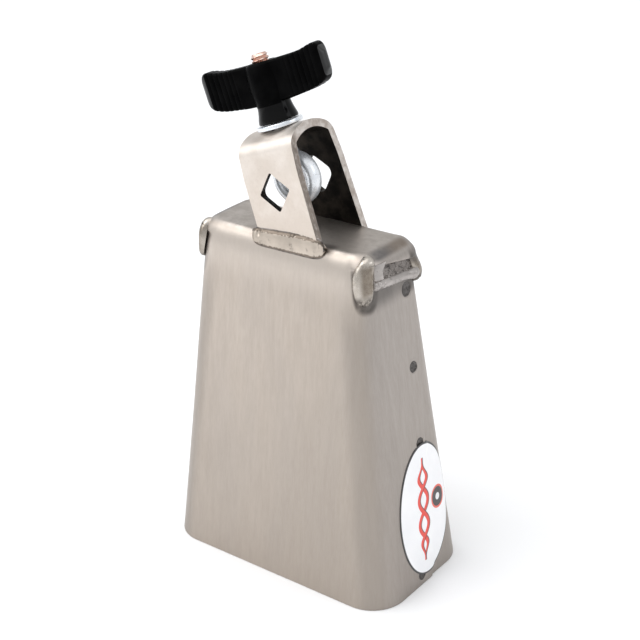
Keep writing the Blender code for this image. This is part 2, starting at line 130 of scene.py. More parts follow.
def lathe(profile, steps, closed=True):
    """(r, z) profile turned about Z; a closed profile gives a ring solid, an open one is capped."""
    verts, faces = [], []
    n = len(profile)
    for i in range(steps):
        q = math.tau * i / steps
        for r, z in profile:
            verts.append((r * math.cos(q), r * math.sin(q), z))
    for i in range(steps):
        a, b = i * n, ((i + 1) % steps) * n
        for k in range(n if closed else n - 1):
            k2 = (k + 1) % n
            faces.append((a + k, a + k2, b + k2, b + k))
    if not closed:
        faces.append(tuple(i * n for i in range(steps)))
        faces.append(tuple(i * n + n - 1 for i in range(steps)))
    return verts, faces


def arc(cx, cy, r, a0, a1, n):
    return [(cx + r * math.cos(math.radians(a0 + (a1 - a0) * i / n)),
             cy + r * math.sin(math.radians(a0 + (a1 - a0) * i / n))) for i in range(n + 1)]


# ------------------------------------------------------------------ materials


class Mat:
    """Small wrapper that builds a procedural Principled material."""

    def __init__(self, name):
        self.m = bpy.data.materials.new(name)
        self.m.use_nodes = True
        self.nt = self.m.node_tree
        self.p = self.nt.nodes["Principled BSDF"]
        self.tc = self.nt.nodes.new("ShaderNodeTexCoord")
        self.xyz = self.tc.outputs["Object"]

    def n(self, kind, **kw):
        nd = self.nt.nodes.new(kind)
        for k, v in kw.items():
            setattr(nd, k, v)
        return nd

    def link(self, a, b):
        self.nt.links.new(a, b)

    def set(self, node, name, v):
        s = node.inputs[name]
        if isinstance(v, bpy.types.NodeSocket):
            self.link(v, s)
        else:
            s.default_value = v

    def math(self, op, a, b=0.0, c=0.0, clamp=False):
        nd = self.n("ShaderNodeMath", operation=op, use_clamp=clamp)
        for i, v in enumerate((a, b, c)):
            if isinstance(v, bpy.types.NodeSocket):
                self.link(v, nd.inputs[i])
            else:
                nd.inputs[i].default_value = v
        return nd.outputs[0]

    def noise(self, scale, size=1.0, detail=3.0, rough=0.55, vec=None, distortion=0.0):
        mp = self.n("ShaderNodeMapping")
        self.link(vec or self.xyz, mp.inputs["Vector"])
        mp.inputs["Scale"].default_value = scale
        t = self.n("ShaderNodeTexNoise")
        self.link(mp.outputs[0], t.inputs["Vector"])
        t.inputs["Scale"].default_value = size
        t.inputs["Detail"].default_value = detail
        t.inputs["Roughness"].default_value = rough
        t.inputs["Distortion"].default_value = distortion
        return t.outputs["Fac"]

    def ramp(self, v, lo, hi, a=0.0, b=1.0, smooth=True):
        nd = self.n("ShaderNodeMapRange")
        nd.interpolation_type = "SMOOTHSTEP" if smooth else "LINEAR"
        self.link(v, nd.inputs["Value"])
        nd.inputs["From Min"].default_value = lo
        nd.inputs["From Max"].default_value = hi
        nd.inputs["To Min"].default_value = a
        nd.inputs["To Max"].default_value = b
        return nd.outputs[0]

    def mix(self, f, a, b):
        nd = self.n("ShaderNodeMix", data_type="RGBA")
        for key, v in ((0, f), (6, a), (7, b)):
            if isinstance(v, bpy.types.NodeSocket):
                self.link(v, nd.inputs[key])
            elif key == 0:
                nd.inputs[0].default_value = v
            else:
                nd.inputs[key].default_value = (*v, 1.0)
        return nd.outputs[2]

    def sep(self, vec=None):
        s = self.n("ShaderNodeSeparateXYZ")
        self.link(vec or self.xyz, s.inputs[0])
        return s.outputs

    def bump(self, h, strength, dist, normal=None):
        b = self.n("ShaderNodeBump")
        b.inputs["Strength"].default_value = strength
        b.inputs["Distance"].default_value = dist
        self.link(h, b.inputs["Height"])
        if normal is not None:
            self.link(normal, b.inputs["Normal"])
        return b.outputs[0]

    def put(self, **kw):
        names = {"color": "Base Color", "rough": "Roughness", "metal": "Metallic", "normal": "Normal",
                 "spec": "Specular IOR Level", "coat": "Coat Weight", "coat_rough": "Coat Roughness",
                 "aniso": "Anisotropic", "aniso_rot": "Anisotropic Rotation", "tangent": "Tangent"}
        for k, v in kw.items():
            s = self.p.inputs[names[k]]
            if isinstance(v, bpy.types.NodeSocket):
                self.link(v, s)
            else:
                s.default_value = (*v, 1.0) if k == "color" else v
        return self.m


def bell_material():
    m = Mat("brushed_bell_steel")
    x, y, z = m.sep()
    fine = m.noise((2600, 2600, 45), detail=4, rough=0.6)
    streak = m.noise((620, 620, 9), detail=2, rough=0.5)
    wide = m.noise((60, 60, 18), detail=2, rough=0.5)
    mott = m.noise((240, 240, 240), detail=5, rough=0.62)
    # the crown is bead-satin, the walls carry the vertical brushing
    crown = m.ramp(z, 0.1285, 0.1299)
    g = m.math("MULTIPLY_ADD", fine, 0.55, m.math("MULTIPLY", streak, 0.45))
    g = m.math("ADD", m.math("MULTIPLY", g, m.math("SUBTRACT", 1.0, crown)),
               m.math("MULTIPLY", mott, crown))
    col = m.mix(m.ramp(g, 0.30, 0.70), (0.478, 0.416, 0.361), (0.530, 0.467, 0.411))
    col = m.mix(m.ramp(wide, 0.35, 0.70, 0.0, 0.20), col, (0.445, 0.405, 0.378))
    # painted shade: the narrow end walls are coloured darker and greyer than the wide faces, for the side turned away
    # from the key light
    ax = m.math("ABSOLUTE", x)
    wall = m.math("SUBTRACT", ax, m.math("MULTIPLY_ADD", z, -0.12077, 0.0514 - 0.0042))
    side = m.ramp(wall, 0.0, 0.0035)
    col = m.mix(m.math("MULTIPLY", side, 0.75), col, m.mix(m.ramp(g, 0.3, 0.7), (0.322, 0.297, 0.283), (0.378, 0.351, 0.336)))
    # the crown takes its mottled satin colour, set darker than the walls as a painted dark reflection of the backdrop
    # behind
    col = m.mix(m.math("MULTIPLY", crown, 0.65), col, m.mix(m.ramp(mott, 0.35, 0.65), (0.365, 0.337, 0.312), (0.482, 0.447, 0.418)))
    # painted shade: the walls are coloured darker towards the mouth, towards the right-hand end and along the folded
    # corners
    col = m.mix(m.ramp(z, 0.118, 0.0, 0.0, 0.34), col, (0.300, 0.262, 0.228))
    col = m.mix(m.ramp(x, -0.020, 0.036, 0.0, 0.24), col, (0.340, 0.300, 0.262))
    corner_shade = m.math("MULTIPLY", m.ramp(wall, -0.0085, -0.0025), m.ramp(wall, 0.0036, 0.0010))
    col = m.mix(m.math("MULTIPLY", corner_shade, m.ramp(z, 0.118, 0.100, 0.0, 0.42)), col, (0.255, 0.228, 0.205))
    # heat tint beside the strap feet
    ay = m.math("ABSOLUTE", y)
    heat = m.math("MULTIPLY", m.ramp(ay, 0.0070, 0.0105), m.ramp(z, 0.1245, 0.1290))
    hx = m.math("ABSOLUTE", m.math("SUBTRACT", x, -0.0095))
    spot = m.math("MULTIPLY", heat, m.ramp(hx, 0.0032, 0.0008))
    col = m.mix(m.math("MULTIPLY", spot, 0.55), col, (0.30, 0.18, 0.12))
    hx2 = m.math("ABSOLUTE", m.math("SUBTRACT", x, 0.0190))
    spot2 = m.math("MULTIPLY", m.math("MULTIPLY", heat, m.ramp(hx2, 0.0045, 0.0012)), m.ramp(y, 0.002, -0.002, 0.30, 1.0))
    col = m.mix(m.math("MULTIPLY", spot2, 0.80), col, (0.085, 0.070, 0.062))
    # painted highlight: the wide faces are coloured brighter where they roll into the crown
    painted_bend_light = m.math("MULTIPLY", m.math("MULTIPLY", m.ramp(z, 0.110, 0.124), m.math("SUBTRACT", 1.0, side)), m.ramp(z, 0.1290, 0.1275))
    col = m.mix(m.math("MULTIPLY", painted_bend_light, 0.42), col, (0.745, 0.672, 0.605))
    # dark weld smoke around each corner tab
    uu = m.math("SUBTRACT", m.math("MULTIPLY", m.math("SUBTRACT", ax, ay), 0.7071), 0.0164)
    hr = m.math("ADD", m.math("POWER", m.math("ABSOLUTE", m.math("DIVIDE", uu, 0.0041)), 3.0),
                m.math("POWER", m.math("ABSOLUTE", m.math("DIVIDE", m.math("SUBTRACT", z, 0.1209), 0.0098)), 3.0))
    halo = m.math("MULTIPLY", m.ramp(hr, 1.80, 0.90), m.ramp(mott, 0.30, 0.60, 0.6, 1.0))
    halo = m.math("MULTIPLY", m.math("MULTIPLY", halo, m.ramp(x, -0.010, 0.010, 0.35, 1.0)), m.ramp(z, 0.1275, 0.1235))
    col = m.mix(m.math("MULTIPLY", halo, 0.85), col, (0.060, 0.052, 0.046))
    # darker straw-brown and blue-grey patches on the shoulders of both crown ends
    sh = m.math("MULTIPLY", m.ramp(ax, 0.0325, 0.0352), m.ramp(z, 0.1268, 0.1284))
    sh = m.math("MULTIPLY", sh, m.math("MULTIPLY", m.ramp(y, -0.0098, -0.0060), m.ramp(y, 0.0125, 0.0090)))
    sh = m.math("MULTIPLY", sh, m.ramp(mott, 0.30, 0.50, 0.75, 1.0))
    col = m.mix(m.math("MULTIPLY", sh, 0.80), col, m.mix(m.ramp(y, -0.004, 0.006), (0.130, 0.125, 0.125), (0.215, 0.175, 0.140)))
    # soot on the end walls just under the welds, together with painted shade cast by the weld ridge above
    soot_and_shade = m.math("MULTIPLY", m.ramp(z, 0.1085, 0.1150), side)
    soot_and_shade = m.math("MULTIPLY", soot_and_shade, m.ramp(z, 0.1240, 0.1225))
    col = m.mix(m.math("MULTIPLY", soot_and_shade, m.ramp(wide, 0.25, 0.65, 0.55, 0.85)), col, (0.130, 0.120, 0.112))
    rough = m.math("ADD", m.ramp(g, 0.25, 0.75, 0.40, 0.31), m.math("MULTIPLY", crown, 0.07))
    rough = m.math("ADD", rough, m.ramp(wide, 0.3, 0.7, 0.0, 0.04))
    h = m.math("ADD", m.math("MULTIPLY", g, 1.0), m.math("MULTIPLY", mott, 0.25))
    nrm = m.bump(h, 0.55, 0.00003)
    tg = m.n("ShaderNodeTangent", direction_type="RADIAL", axis="Z")
    m.put(color=col, rough=rough, metal=1.0, normal=nrm, aniso=m.math("MULTIPLY_ADD", crown, -0.35, 0.35))
    m.link(tg.outputs[0], m.p.inputs["Tangent"])
    return m.m


def inside_material():
    m = Mat("bell_inside_steel")
    a = m.noise((160, 160, 60), detail=5, rough=0.65)
    b = m.noise((1500, 1500, 300), detail=3)
    col = m.mix(m.ramp(a, 0.35, 0.68), (0.26, 0.235, 0.215), (0.42, 0.385, 0.355))
    return m.put(color=col, rough=m.ramp(b, 0.3, 0.7, 0.42, 0.56), metal=1.0, normal=m.bump(b, 0.4, 0.00003))


def strap_material():
    m = Mat("strap_satin_steel")
    x, y, z = m.sep()
    fine = m.noise((900, 900, 900), detail=5, rough=0.65)
    lines = m.noise((1800, 1800, 70), detail=3)
    blot = m.noise((110, 110, 110), detail=3)
    col = m.mix(m.ramp(blot, 0.35, 0.68), (0.735, 0.662, 0.594), (0.835, 0.770, 0.710))
    col = m.mix(m.ramp(fine, 0.50, 0.75, 0.0, 0.25), col, (0.62, 0.55, 0.49))
    # painted shade: the strap is coloured darker down its legs towards the feet
    col = m.mix(m.ramp(z, 0.166, 0.140, 0.0, 0.42), col, (0.600, 0.520, 0.452))
    # warm oxide near the welds
    low = m.math("MULTIPLY", m.ramp(z, 0.1375, 0.1305), m.ramp(blot, 0.30, 0.62))
    col = m.mix(m.math("MULTIPLY", low, 0.45), col, (0.44, 0.34, 0.26))
    h = m.math("MULTIPLY_ADD", lines, 0.6, m.math("MULTIPLY", fine, 0.6))
    return m.put(color=col, rough=m.ramp(fine, 0.3, 0.7, 0.40, 0.50), metal=1.0, normal=m.bump(h, 0.5, 0.00002))


def strap_edge_material():
    m = Mat("strap_sheared_edge")
    s = m.noise((1400, 1400, 120), detail=4, rough=0.6)
    blot = m.noise((260, 260, 260), detail=4, rough=0.6)
    x, y, z = m.sep()
    col = m.mix(m.ramp(blot, 0.34, 0.66), (0.42, 0.36, 0.315), (0.70, 0.65, 0.61))
    # brown scale left on the front leg's cut edge
    col = m.mix(m.math("MULTIPLY", m.ramp(y, -0.0075, -0.0100), m.ramp(blot, 0.3, 0.6, 0.65, 0.95)), col, (0.20, 0.165, 0.140))
    col = m.mix(m.ramp(s, 0.45, 0.72, 0.0, 0.55), col, (0.66, 0.61, 0.56))
    return m.put(color=col, rough=m.ramp(s, 0.3, 0.7, 0.34, 0.52), metal=1.0, normal=m.bump(s, 0.6, 0.00005))


def strap_inside_material():
    m = Mat("strap_inside_painted_shade")
    blot = m.noise((180, 180, 180), detail=5, rough=0.6)
    fine = m.noise((1300, 1300, 1300), detail=3)
    # painted shade: the inner faces of the bracket are coloured near-black for the dark between its legs
    col = m.mix(m.ramp(blot, 0.36, 0.68), (0.004, 0.003, 0.0025), (0.034, 0.027, 0.021))
    return m.put(color=col, rough=m.ramp(fine, 0.3, 0.7, 0.42, 0.60), metal=0.85, normal=m.bump(fine, 0.4, 0.00004))


def weld_material(name, light, dark, amount=0.5, scale=1.0):
    m = Mat(name)
    a = m.noise((420 * scale,) * 3, detail=6, rough=0.68)
    b = m.noise((1500 * scale,) * 3, detail=4, rough=0.6)
    c = m.noise((130 * scale,) * 3, detail=2)
    col = m.mix(m.ramp(c, 0.32, 0.68), tuple(0.82 * v for v in light), light)
    pits = m.ramp(a, 0.60 - 0.10 * amount, 0.72 - 0.10 * amount)
    col = m.mix(m.math("MULTIPLY", pits, 0.35 + 0.5 * amount), col, dark)
    h = m.math("SUBTRACT", m.math("MULTIPLY", b, 0.5), m.math("MULTIPLY", pits, 0.9))
    return m.put(color=col, rough=m.ramp(b, 0.3, 0.7, 0.30, 0.48), metal=1.0, normal=m.bump(h, 0.7, 0.00008))


def tab_material(name, u0, dark_top=False):
    """Ground corner tongue: bright face-side rim, straw-brown middle, sooty pitted foot."""
    m = Mat(name)
    x, y, z = m.sep()
    a = m.noise((420,) * 3, detail=6, rough=0.68)
    b = m.noise((1500,) * 3, detail=4, rough=0.6)
    u = m.math("SUBTRACT", m.math("MULTIPLY", m.math("SUBTRACT", m.math("ABSOLUTE", x), m.math("ABSOLUTE", y)), 0.7071), u0)
    u = m.math("ADD", u, m.math("MULTIPLY_ADD", a, 0.0012, -0.0006))
    col = m.mix(m.ramp(a, 0.32, 0.68), (0.46, 0.415, 0.365), (0.56, 0.515, 0.465))
    core = m.math("MULTIPLY", m.ramp(u, -0.0028, -0.0004), m.ramp(u, 0.0040, 0.0022))
    core = m.math("MULTIPLY", core, m.math("MULTIPLY", m.ramp(z, 0.1155, 0.1185), m.ramp(z, 0.1282, 0.1262)))
    col = m.mix(m.math("MULTIPLY", core, 0.85), col, m.mix(m.ramp(a, 0.3, 0.7), (0.165, 0.132, 0.100), (0.255, 0.215, 0.175)))
    if dark_top:
        col = m.mix(m.math("MULTIPLY", m.ramp(z, 0.1195, 0.1215), m.ramp(a, 0.35, 0.60, 0.55, 0.95)), col, (0.11, 0.097, 0.088))
    foot = m.math("MULTIPLY", m.ramp(z, 0.1180, 0.1150), m.ramp(a, 0.40, 0.52, 0.35, 1.0))
    col = m.mix(m.math("MULTIPLY", foot, 0.85), col, (0.065, 0.055, 0.048))
    h = m.math("SUBTRACT", m.math("MULTIPLY", b, 0.5), m.math("MULTIPLY", foot, 0.9))
    rough = m.math("ADD", m.ramp(b, 0.3, 0.7, 0.24, 0.36), m.math("MULTIPLY", foot, 0.2))
    return m.put(color=col, rough=rough, metal=1.0, normal=m.bump(h, 0.6, 0.00006))


def spot_material():
    m = Mat("spot_weld_burnt")
    a = m.noise((900, 900, 900), detail=5, rough=0.65)
    b = m.noise((2600, 2600, 2600), detail=3)
    col = m.mix(m.ramp(a, 0.33, 0.68), (0.075, 0.068, 0.064), (0.165, 0.154, 0.148))
    return m.put(color=col, rough=m.ramp(b, 0.3, 0.7, 0.45, 0.65), metal=0.9, normal=m.bump(a, 0.6, 0.00007))


def zinc_material():
    m = Mat("bright_zinc")
    a = m.noise((330, 330, 330), detail=4, rough=0.6)
    b = m.noise((2100, 2100, 2100), detail=4)
    col = m.mix(m.ramp(a, 0.33, 0.68), (0.72, 0.76, 0.82), (0.92, 0.95, 0.985))
    return m.put(color=col, rough=m.ramp(b, 0.3, 0.7, 0.20, 0.32), metal=0.82, normal=m.bump(b, 0.5, 0.00002))


def eye_material():
    m = Mat("zinc_eye_painted_light")
    a = m.noise((330, 330, 330), detail=4, rough=0.6)
    b = m.noise((1500, 1500, 1500), detail=4)
    # painted light: the eye is a brighter, more diffuse copy of the zinc plate so that it reads lit inside the bracket
    col = m.mix(m.ramp(a, 0.33, 0.68), (0.84, 0.87, 0.91), (0.96, 0.975, 0.99))
    return m.put(color=col, rough=m.ramp(b, 0.3, 0.7, 0.26, 0.38), metal=0.55, spec=0.6, normal=m.bump(b, 0.4, 0.00002))


def thread_material():
    m = Mat("bolt_end_copper_tint")
    a = m.noise((500, 500, 500), detail=4, rough=0.6)
    col = m.mix(m.ramp(a, 0.35, 0.65), (0.66, 0.40, 0.32), (0.86, 0.68, 0.60))
    return m.put(color=col, rough=m.ramp(a, 0.3, 0.7, 0.22, 0.34), metal=1.0, normal=m.bump(a, 0.4, 0.00003))


def plastic_material(name, rough=(0.30, 0.42), spec=0.22, grain=0.0000225):
    m = Mat(name)
    a = m.noise((2300, 2300, 2300), detail=3, rough=0.6)
    b = m.noise((150, 150, 150), detail=3)
    col = m.mix(m.ramp(b, 0.3, 0.7), (0.0012, 0.0012, 0.0013), (0.0030, 0.0030, 0.0031))
    return m.put(color=col, rough=m.ramp(b, 0.3, 0.7, *rough), spec=spec, metal=0.0, normal=m.bump(a, 0.5, grain))


def brass_material():
    m = Mat("turned_brass")
    a = m.noise((900, 900, 4000), detail=3)
    col = m.mix(m.ramp(a, 0.3, 0.7), (0.60, 0.43, 0.20), (0.80, 0.62, 0.34))
    return m.put(color=col, rough=m.ramp(a, 0.3, 0.7, 0.24, 0.38), metal=1.0, normal=m.bump(a, 0.5, 0.00003))


def label_material():
    """White oval, dark rim, two woven red ribbons and a plain ringed disc: no lettering."""
    m = Mat("oval_label_print")
    u, v, w = m.sep()
    e = m.math("SQRT", m.math("ADD", m.math("POWER", m.math("DIVIDE", u, LABEL_HW * MM), 2.0),
                             m.math("POWER", m.math("DIVIDE", v, LABEL_HH * MM), 2.0)))
    paper = m.noise((1200, 1200, 1200), detail=3)
    soft = m.noise((60, 60, 60), detail=2)
    white = m.mix(m.ramp(soft, 0.3, 0.7), (0.90, 0.90, 0.915), (0.95, 0.945, 0.955))
    # two red ribbons that weave along the long axis, each with a thin dark edge
    k = math.tau / 0.0190
    damp = m.ramp(m.math("ABSOLUTE", v), 0.0190, 0.0110)
    ang = m.math("MULTIPLY", v, k)
    col = white
    red = (0.80, 0.080, 0.058)
    for sgn, phase in ((1.0, 0.35), (-1.0, 0.35)):
        aa = m.math("ADD", ang, phase)
        wv = m.math("MULTIPLY", m.math("MULTIPLY", m.math("SINE", aa), 0.0027 * sgn), damp)
        slope = m.math("MULTIPLY", m.math("MULTIPLY", m.math("COSINE", aa), 0.0027 * k), damp)
        stretch = m.math("SQRT", m.math("ADD", m.math("POWER", slope, 2.0), 1.0))
        wv = m.math("ADD", wv, -0.0012)
        inside = m.ramp(m.math("ABSOLUTE", v), 0.0202, 0.0198)
        for off, tint, hw in ((0.00042, (0.060, 0.052, 0.050), 0.00078), (0.0, red, 0.00078)):
            du = m.math("DIVIDE", m.math("ABSOLUTE", m.math("SUBTRACT", u, m.math("ADD", wv, off))), stretch)
            halfw = m.math("MULTIPLY_ADD", damp, 0.00045, hw - 0.00045)
            band = m.math("MULTIPLY", m.ramp(m.math("SUBTRACT", du, halfw), 0.00012, -0.00012), inside)
            col = m.mix(band, col, tint)
    # plain disc with a red ring
    dv = m.math("DIVIDE", m.math("SUBTRACT", v, 0.0016), 1.15)
    dd = m.math("SUBTRACT", u, 0.0088)
    r = m.math("SQRT", m.math("ADD", m.math("POWER", dv, 2.0), m.math("POWER", dd, 2.0)))
    col = m.mix(m.ramp(r, 0.0041, 0.0039), col, (0.80, 0.16, 0.12))
    col = m.mix(m.ramp(r, 0.0034, 0.0032), col, (0.075, 0.070, 0.070))
    col = m.mix(m.ramp(r, 0.0013, 0.0011), col, (0.82, 0.82, 0.83))
    grad = m.math("DIVIDE", m.math("SQRT", m.math("ADD", m.math("POWER", m.math("DIVIDE", u, (LABEL_HW * MM) ** 2), 2.0),
                                                m.math("POWER", m.math("DIVIDE", v, (LABEL_HH * MM) ** 2), 2.0))), m.math("MAXIMUM", e, 0.05))
    dist = m.math("DIVIDE", m.math("SUBTRACT", 1.0, e), grad)
    rim = m.ramp(dist, 0.00062, 0.00048)
    col = m.mix(rim, col, (0.060, 0.058, 0.058))
    return m.put(color=col, rough=m.ramp(paper, 0.3, 0.7, 0.30, 0.38), metal=0.0, spec=0.45,
                 normal=m.bump(paper, 0.15, 0.00002))


BELL = bell_material()
INSIDE = inside_material()
STRAP = strap_material()
STRAP_EDGE = strap_edge_material()
STRAP_IN = strap_inside_material()
WELD_END = weld_material("end_weld_metal", (0.475, 0.440, 0.418), (0.10, 0.088, 0.080), 0.45)
# near-black weld metal for the end-weld groove and the bead crevices: scale plus painted shade in those recesses
WELD_DARK = weld_material("weld_groove_scale_and_shade", (0.25, 0.225, 0.21), (0.028, 0.024, 0.022), 1.1, 0.8)
TAB_FRONT = tab_material("corner_tab_steel_front", 0.0162)
TAB_REAR = tab_material("corner_tab_steel_rear", 0.0152, True)
BEAD = weld_material("bracket_weld_metal", (0.600, 0.525, 0.450), (0.12, 0.10, 0.085), 0.30)
# darker bands along both edges of the bracket bead: brown heat tint plus painted shade that dims the up-facing top
BEAD_TOE = weld_material("bracket_weld_toe_tint_and_shade", (0.235, 0.195, 0.160), (0.050, 0.042, 0.036), 0.85)
SPOT = spot_material()
ZINC = zinc_material()
EYE = eye_material()
THREAD = thread_material()
PLASTIC = plastic_material("black_nylon_bar", (0.26, 0.36), 0.018)
HUB = plastic_material("black_nylon_hub", (0.10, 0.15), 0.12, 0.000008)
TIP = plastic_material("black_nylon_worn_tip", (0.30, 0.38), 0.55)
BRASS = brass_material()
LABEL = label_material()

# ------------------------------------------------------------------ bell sheet


def lin(z, pair):
    return pair[0] + (pair[1] - pair[0]) * z / BELL_H


def inset(z):
    """How far the wide faces roll in under the crown."""
    s = min(max((z - (BELL_H - BEND_H)) / BEND_H, 0.0), 1.0)
    return BEND_IN * (1 - (1 - s ** 3.9) ** (1 / 1.9))


def face_y(z):
    return lin(z, (MOUTH_HALF_D, TOP_HALF_D)) - inset(z)


def section(z, off=0.0):
    a = lin(z, (MOUTH_HALF_W, TOP_HALF_W))
    b = lin(z, (MOUTH_HALF_D, TOP_HALF_D))
    rf, rr = lin(z, R_FRONT), lin(z, R_REAR)
    bend = BELL_H - CROWN_R
    ra, rb = CROWN_END_R - off, CROWN_R - off
    s = min(max((z - bend) / rb, 0.0), 1.0)
    drop = 1.0 - math.sqrt(max(1.0 - s * s, 0.0))
    a -= off + ra * drop
    b -= off + inset(z + off * float(sstep(z, BELL_H - BEND_H, BELL_H - 4.0)))
    rf = max(rf - off - rb * drop, 0.8)
    rr = max(rr - off - rb * drop, 0.4 if off else 1.0)
    return a, b, rf, rr, drop


def seam_y(z):
    y = float(np.interp(z, [p[0] for p in SEAM], [p[1] for p in SEAM]))
    a, b, rf, rr, _ = section(z)
    return min(y, b - rr - 0.25)


def lap_step(z):
    return float(np.interp(z, (0.0, 60.0, 114.0, 118.5), (0.62, 0.80, 0.80, 0.3)))


DENSE = [d / 19.4 for d in np.arange(0.25, 10.9, 0.42)]
COARSE = [10.9 / 19.4 + (1 - 10.9 / 19.4) * f for f in (0.0, 0.2, 0.4, 0.6, 0.8)]
SIDE_F = [f for f in DENSE + COARSE[1:]]            # fractions back from the seam


def half_ring(z, off, full=True):
    """Right half outline, front middle to rear middle: x, y, nx, ny."""
    a, b, rf, rr, drop = section(z, off)
    step = lap_step(z)
    ys = seam_y(z) - LAP_WIDTH * off / SHEET
    P = []
    for f in np.linspace(0, 1, 15)[:-1]:
        P.append((f * (a - rf), -b, 0, -1))
    for i in range(15):
        q = math.radians(-90 + 90 * i / 14)
        P.append((a - rf + rf * math.cos(q), -b + rf + rf * math.sin(q), math.cos(q), math.sin(q)))
    L = ys + b - rf
    for f in SIDE_F[::-1]:
        P.append((a, ys - f * L, 1, 0))
    e = min(0.22, step * 0.7)
    P.append((a - 0.3 * e, ys - 0.3 * e * 0.9, 1, 0))
    P.append((a - e, ys, 1, 0))
    P.append((a - step, ys + 0.03, 1, 0))
    for f in (0.12, 0.35, 0.65):
        P.append((a - step, ys + 0.03 + f * (b - rr - ys - 0.03), 1, 0))
    for i in range(13):
        q = math.radians(90 * i / 12)
        P.append((a - step - rr + rr * math.cos(q), b - rr + rr * math.sin(q), math.cos(q), math.sin(q)))
    for f in np.linspace(1, 0, 15)[1:]:
        P.append((f * (a - step - rr), b, 0, 1))
    return P, drop


def wave(x, y, z):
    return 0.07 * nz(x, y, z, 26.0, 3.1) + 0.03 * nz(x, y, z, 11.0, 7.7)


def dimple(y, z):
    d = 0.0
    for sy, sz in SPOTS:
        r = math.hypot(y - sy, z - sz)
        r /= 1.22 if sz > 100 else 1.0
        if r < 3.8:
            d += -0.42 * float(1 - sstep(r, 1.55, 2.35)) + 0.13 * math.exp(-((r - 2.62) / 0.36) ** 2)
    return d


def lip_edge(y):
    """Height of the lower edge of the folded crown end: it runs down towards the rear."""
    return 124.6 - 0.20 * min(max(y, -3.5), 11.0)


def lip(z, y, a):
    """How far the folded crown end stands out from the wall."""
    e = z - lip_edge(y)
    if e < -0.8:
        return 0.0
    k = min(max((z - 123.5) / 6.5, 0.0), 1.0)
    x = 31.6 + 7.1 * (1 - k ** 2.1) ** (1 / 2.1)
    return max(x - a, 0.0) * float(sstep(e, -0.6, 0.55))


def full_ring(z, off=0.0, outer=True):
    P, drop = half_ring(z, off)
    a_wall = section(z, off)[0]
    out = []
    for sx in (1, -1):
        pts = P if sx == 1 else P[1:-1][::-1]
        for x, y, nx, ny in pts:
            if outer:
                d = wave(sx * x, y, z) * min(1.0, (z + 2) / 8.0)
                d *= (1 - drop)
                if nx > 0.99:
                    d += dimple(y, z)
                if nx > 0.2:
                    m_ = float(sstep(nx, 0.25, 0.85)) * (1.0 if sx > 0 else 0.55 + 0.4 * float(sstep(y, -9, 5)))
                    d += lip(z, y, a_wall) * m_
                    d -= 0.25 * math.exp(-((z - lip_edge(y) + 1.6) / 0.9) ** 2) * m_
                x2, y2 = x + nx * d, y + ny * d
                if sx < 0:
                    x2 += 0.75 * nx * float(sstep(z, 30.0, 120.0))
            else:
                x2, y2 = x, y
            out.append((sx * x2, y2, z))
    return out


def bell_mesh():
    zs = set(np.round(np.arange(0.4, 112.0, 2.6), 3))
    for _, sz in SPOTS:
        zs |= set(np.round(np.arange(max(sz - 3.6, 0.4), sz + 3.61, 0.42), 3))
    zs |= set(np.round(np.arange(112.0, 121.0, 0.4), 3))
    zs |= set(np.round(np.arange(121.2, BELL_H - CROWN_R, 0.2), 3))
    zs = sorted(zs)
    keep = [zs[0]]
    for z in zs[1:]:
        if z - keep[-1] > 0.14:
            keep.append(z)
    rows = [full_ring(z) for z in keep]
    bend = BELL_H - CROWN_R
    for q in np.linspace(0, 90, 22):
        rows.append(full_ring(bend + CROWN_R * math.sin(math.radians(q))))
    n = len(rows[0])
    low = []
    for z, off in ((0.12, 0.10), (0.0, 0.34), (0.0, SHEET - 0.34), (0.12, SHEET - 0.10)):
        low.append(full_ring(z, off, False))
    inner = [full_ring(z, SHEET, False) for z in (0.4, 6, 20, 40, 60, 80, 95, 106, 114, 118.5, 122.5)]
    rb = CROWN_R - SHEET
    for q in (0, 15, 30, 45, 60, 75, 90):
        inner.append(full_ring(bend + rb * math.sin(math.radians(q)), SHEET, False))
    order = rows[::-1] + low + inner          # crown -> mouth outside, then up the inside
    verts = [p for r in order for p in r]
    faces = grid_faces(len(order), n)
    first_inner = (len(rows) + 1) * n
    faces.append(tuple(range(n)))
    last = (len(order) - 1) * n
    faces.append(tuple(last + i for i in range(n)))
    ob = make("bell_sheet", verts, faces, [BELL, INSIDE], sharp=None)
    me = ob.data
    for p in me.polygons:
        c = p.center
        a, b, rf, rr, _ = section(min(c.z / MM, 130.0))
        inside = (abs(c.x) / MM < a - 0.75 - lap_step(c.z / MM) * 0.0 and abs(c.y) / MM < b - 0.75)
        nd = Vector((c.x, c.y, 0)).dot(Vector((p.normal.x, p.normal.y, 0)))
        if c.z > 0.1285 and p.normal.z < 0:
            p.material_index = 1
        elif c.z < 0.1285 and nd < 0 and c.z > 0.0003 and inside:
            p.material_index = 1
    me.set_sharp_from_angle(angle=math.radians(42))
    return ob


bell = bell_mesh()
piece(bell, "bell", "bell_steel", "bell_shell")

# ------------------------------------------------------------------ spot welds
N_SIDE = Vector((BELL_H, 0.0, MOUTH_HALF_W - TOP_HALF_W)).normalized()


def wall_x(z):
    return lin(z, (MOUTH_HALF_W, TOP_HALF_W))


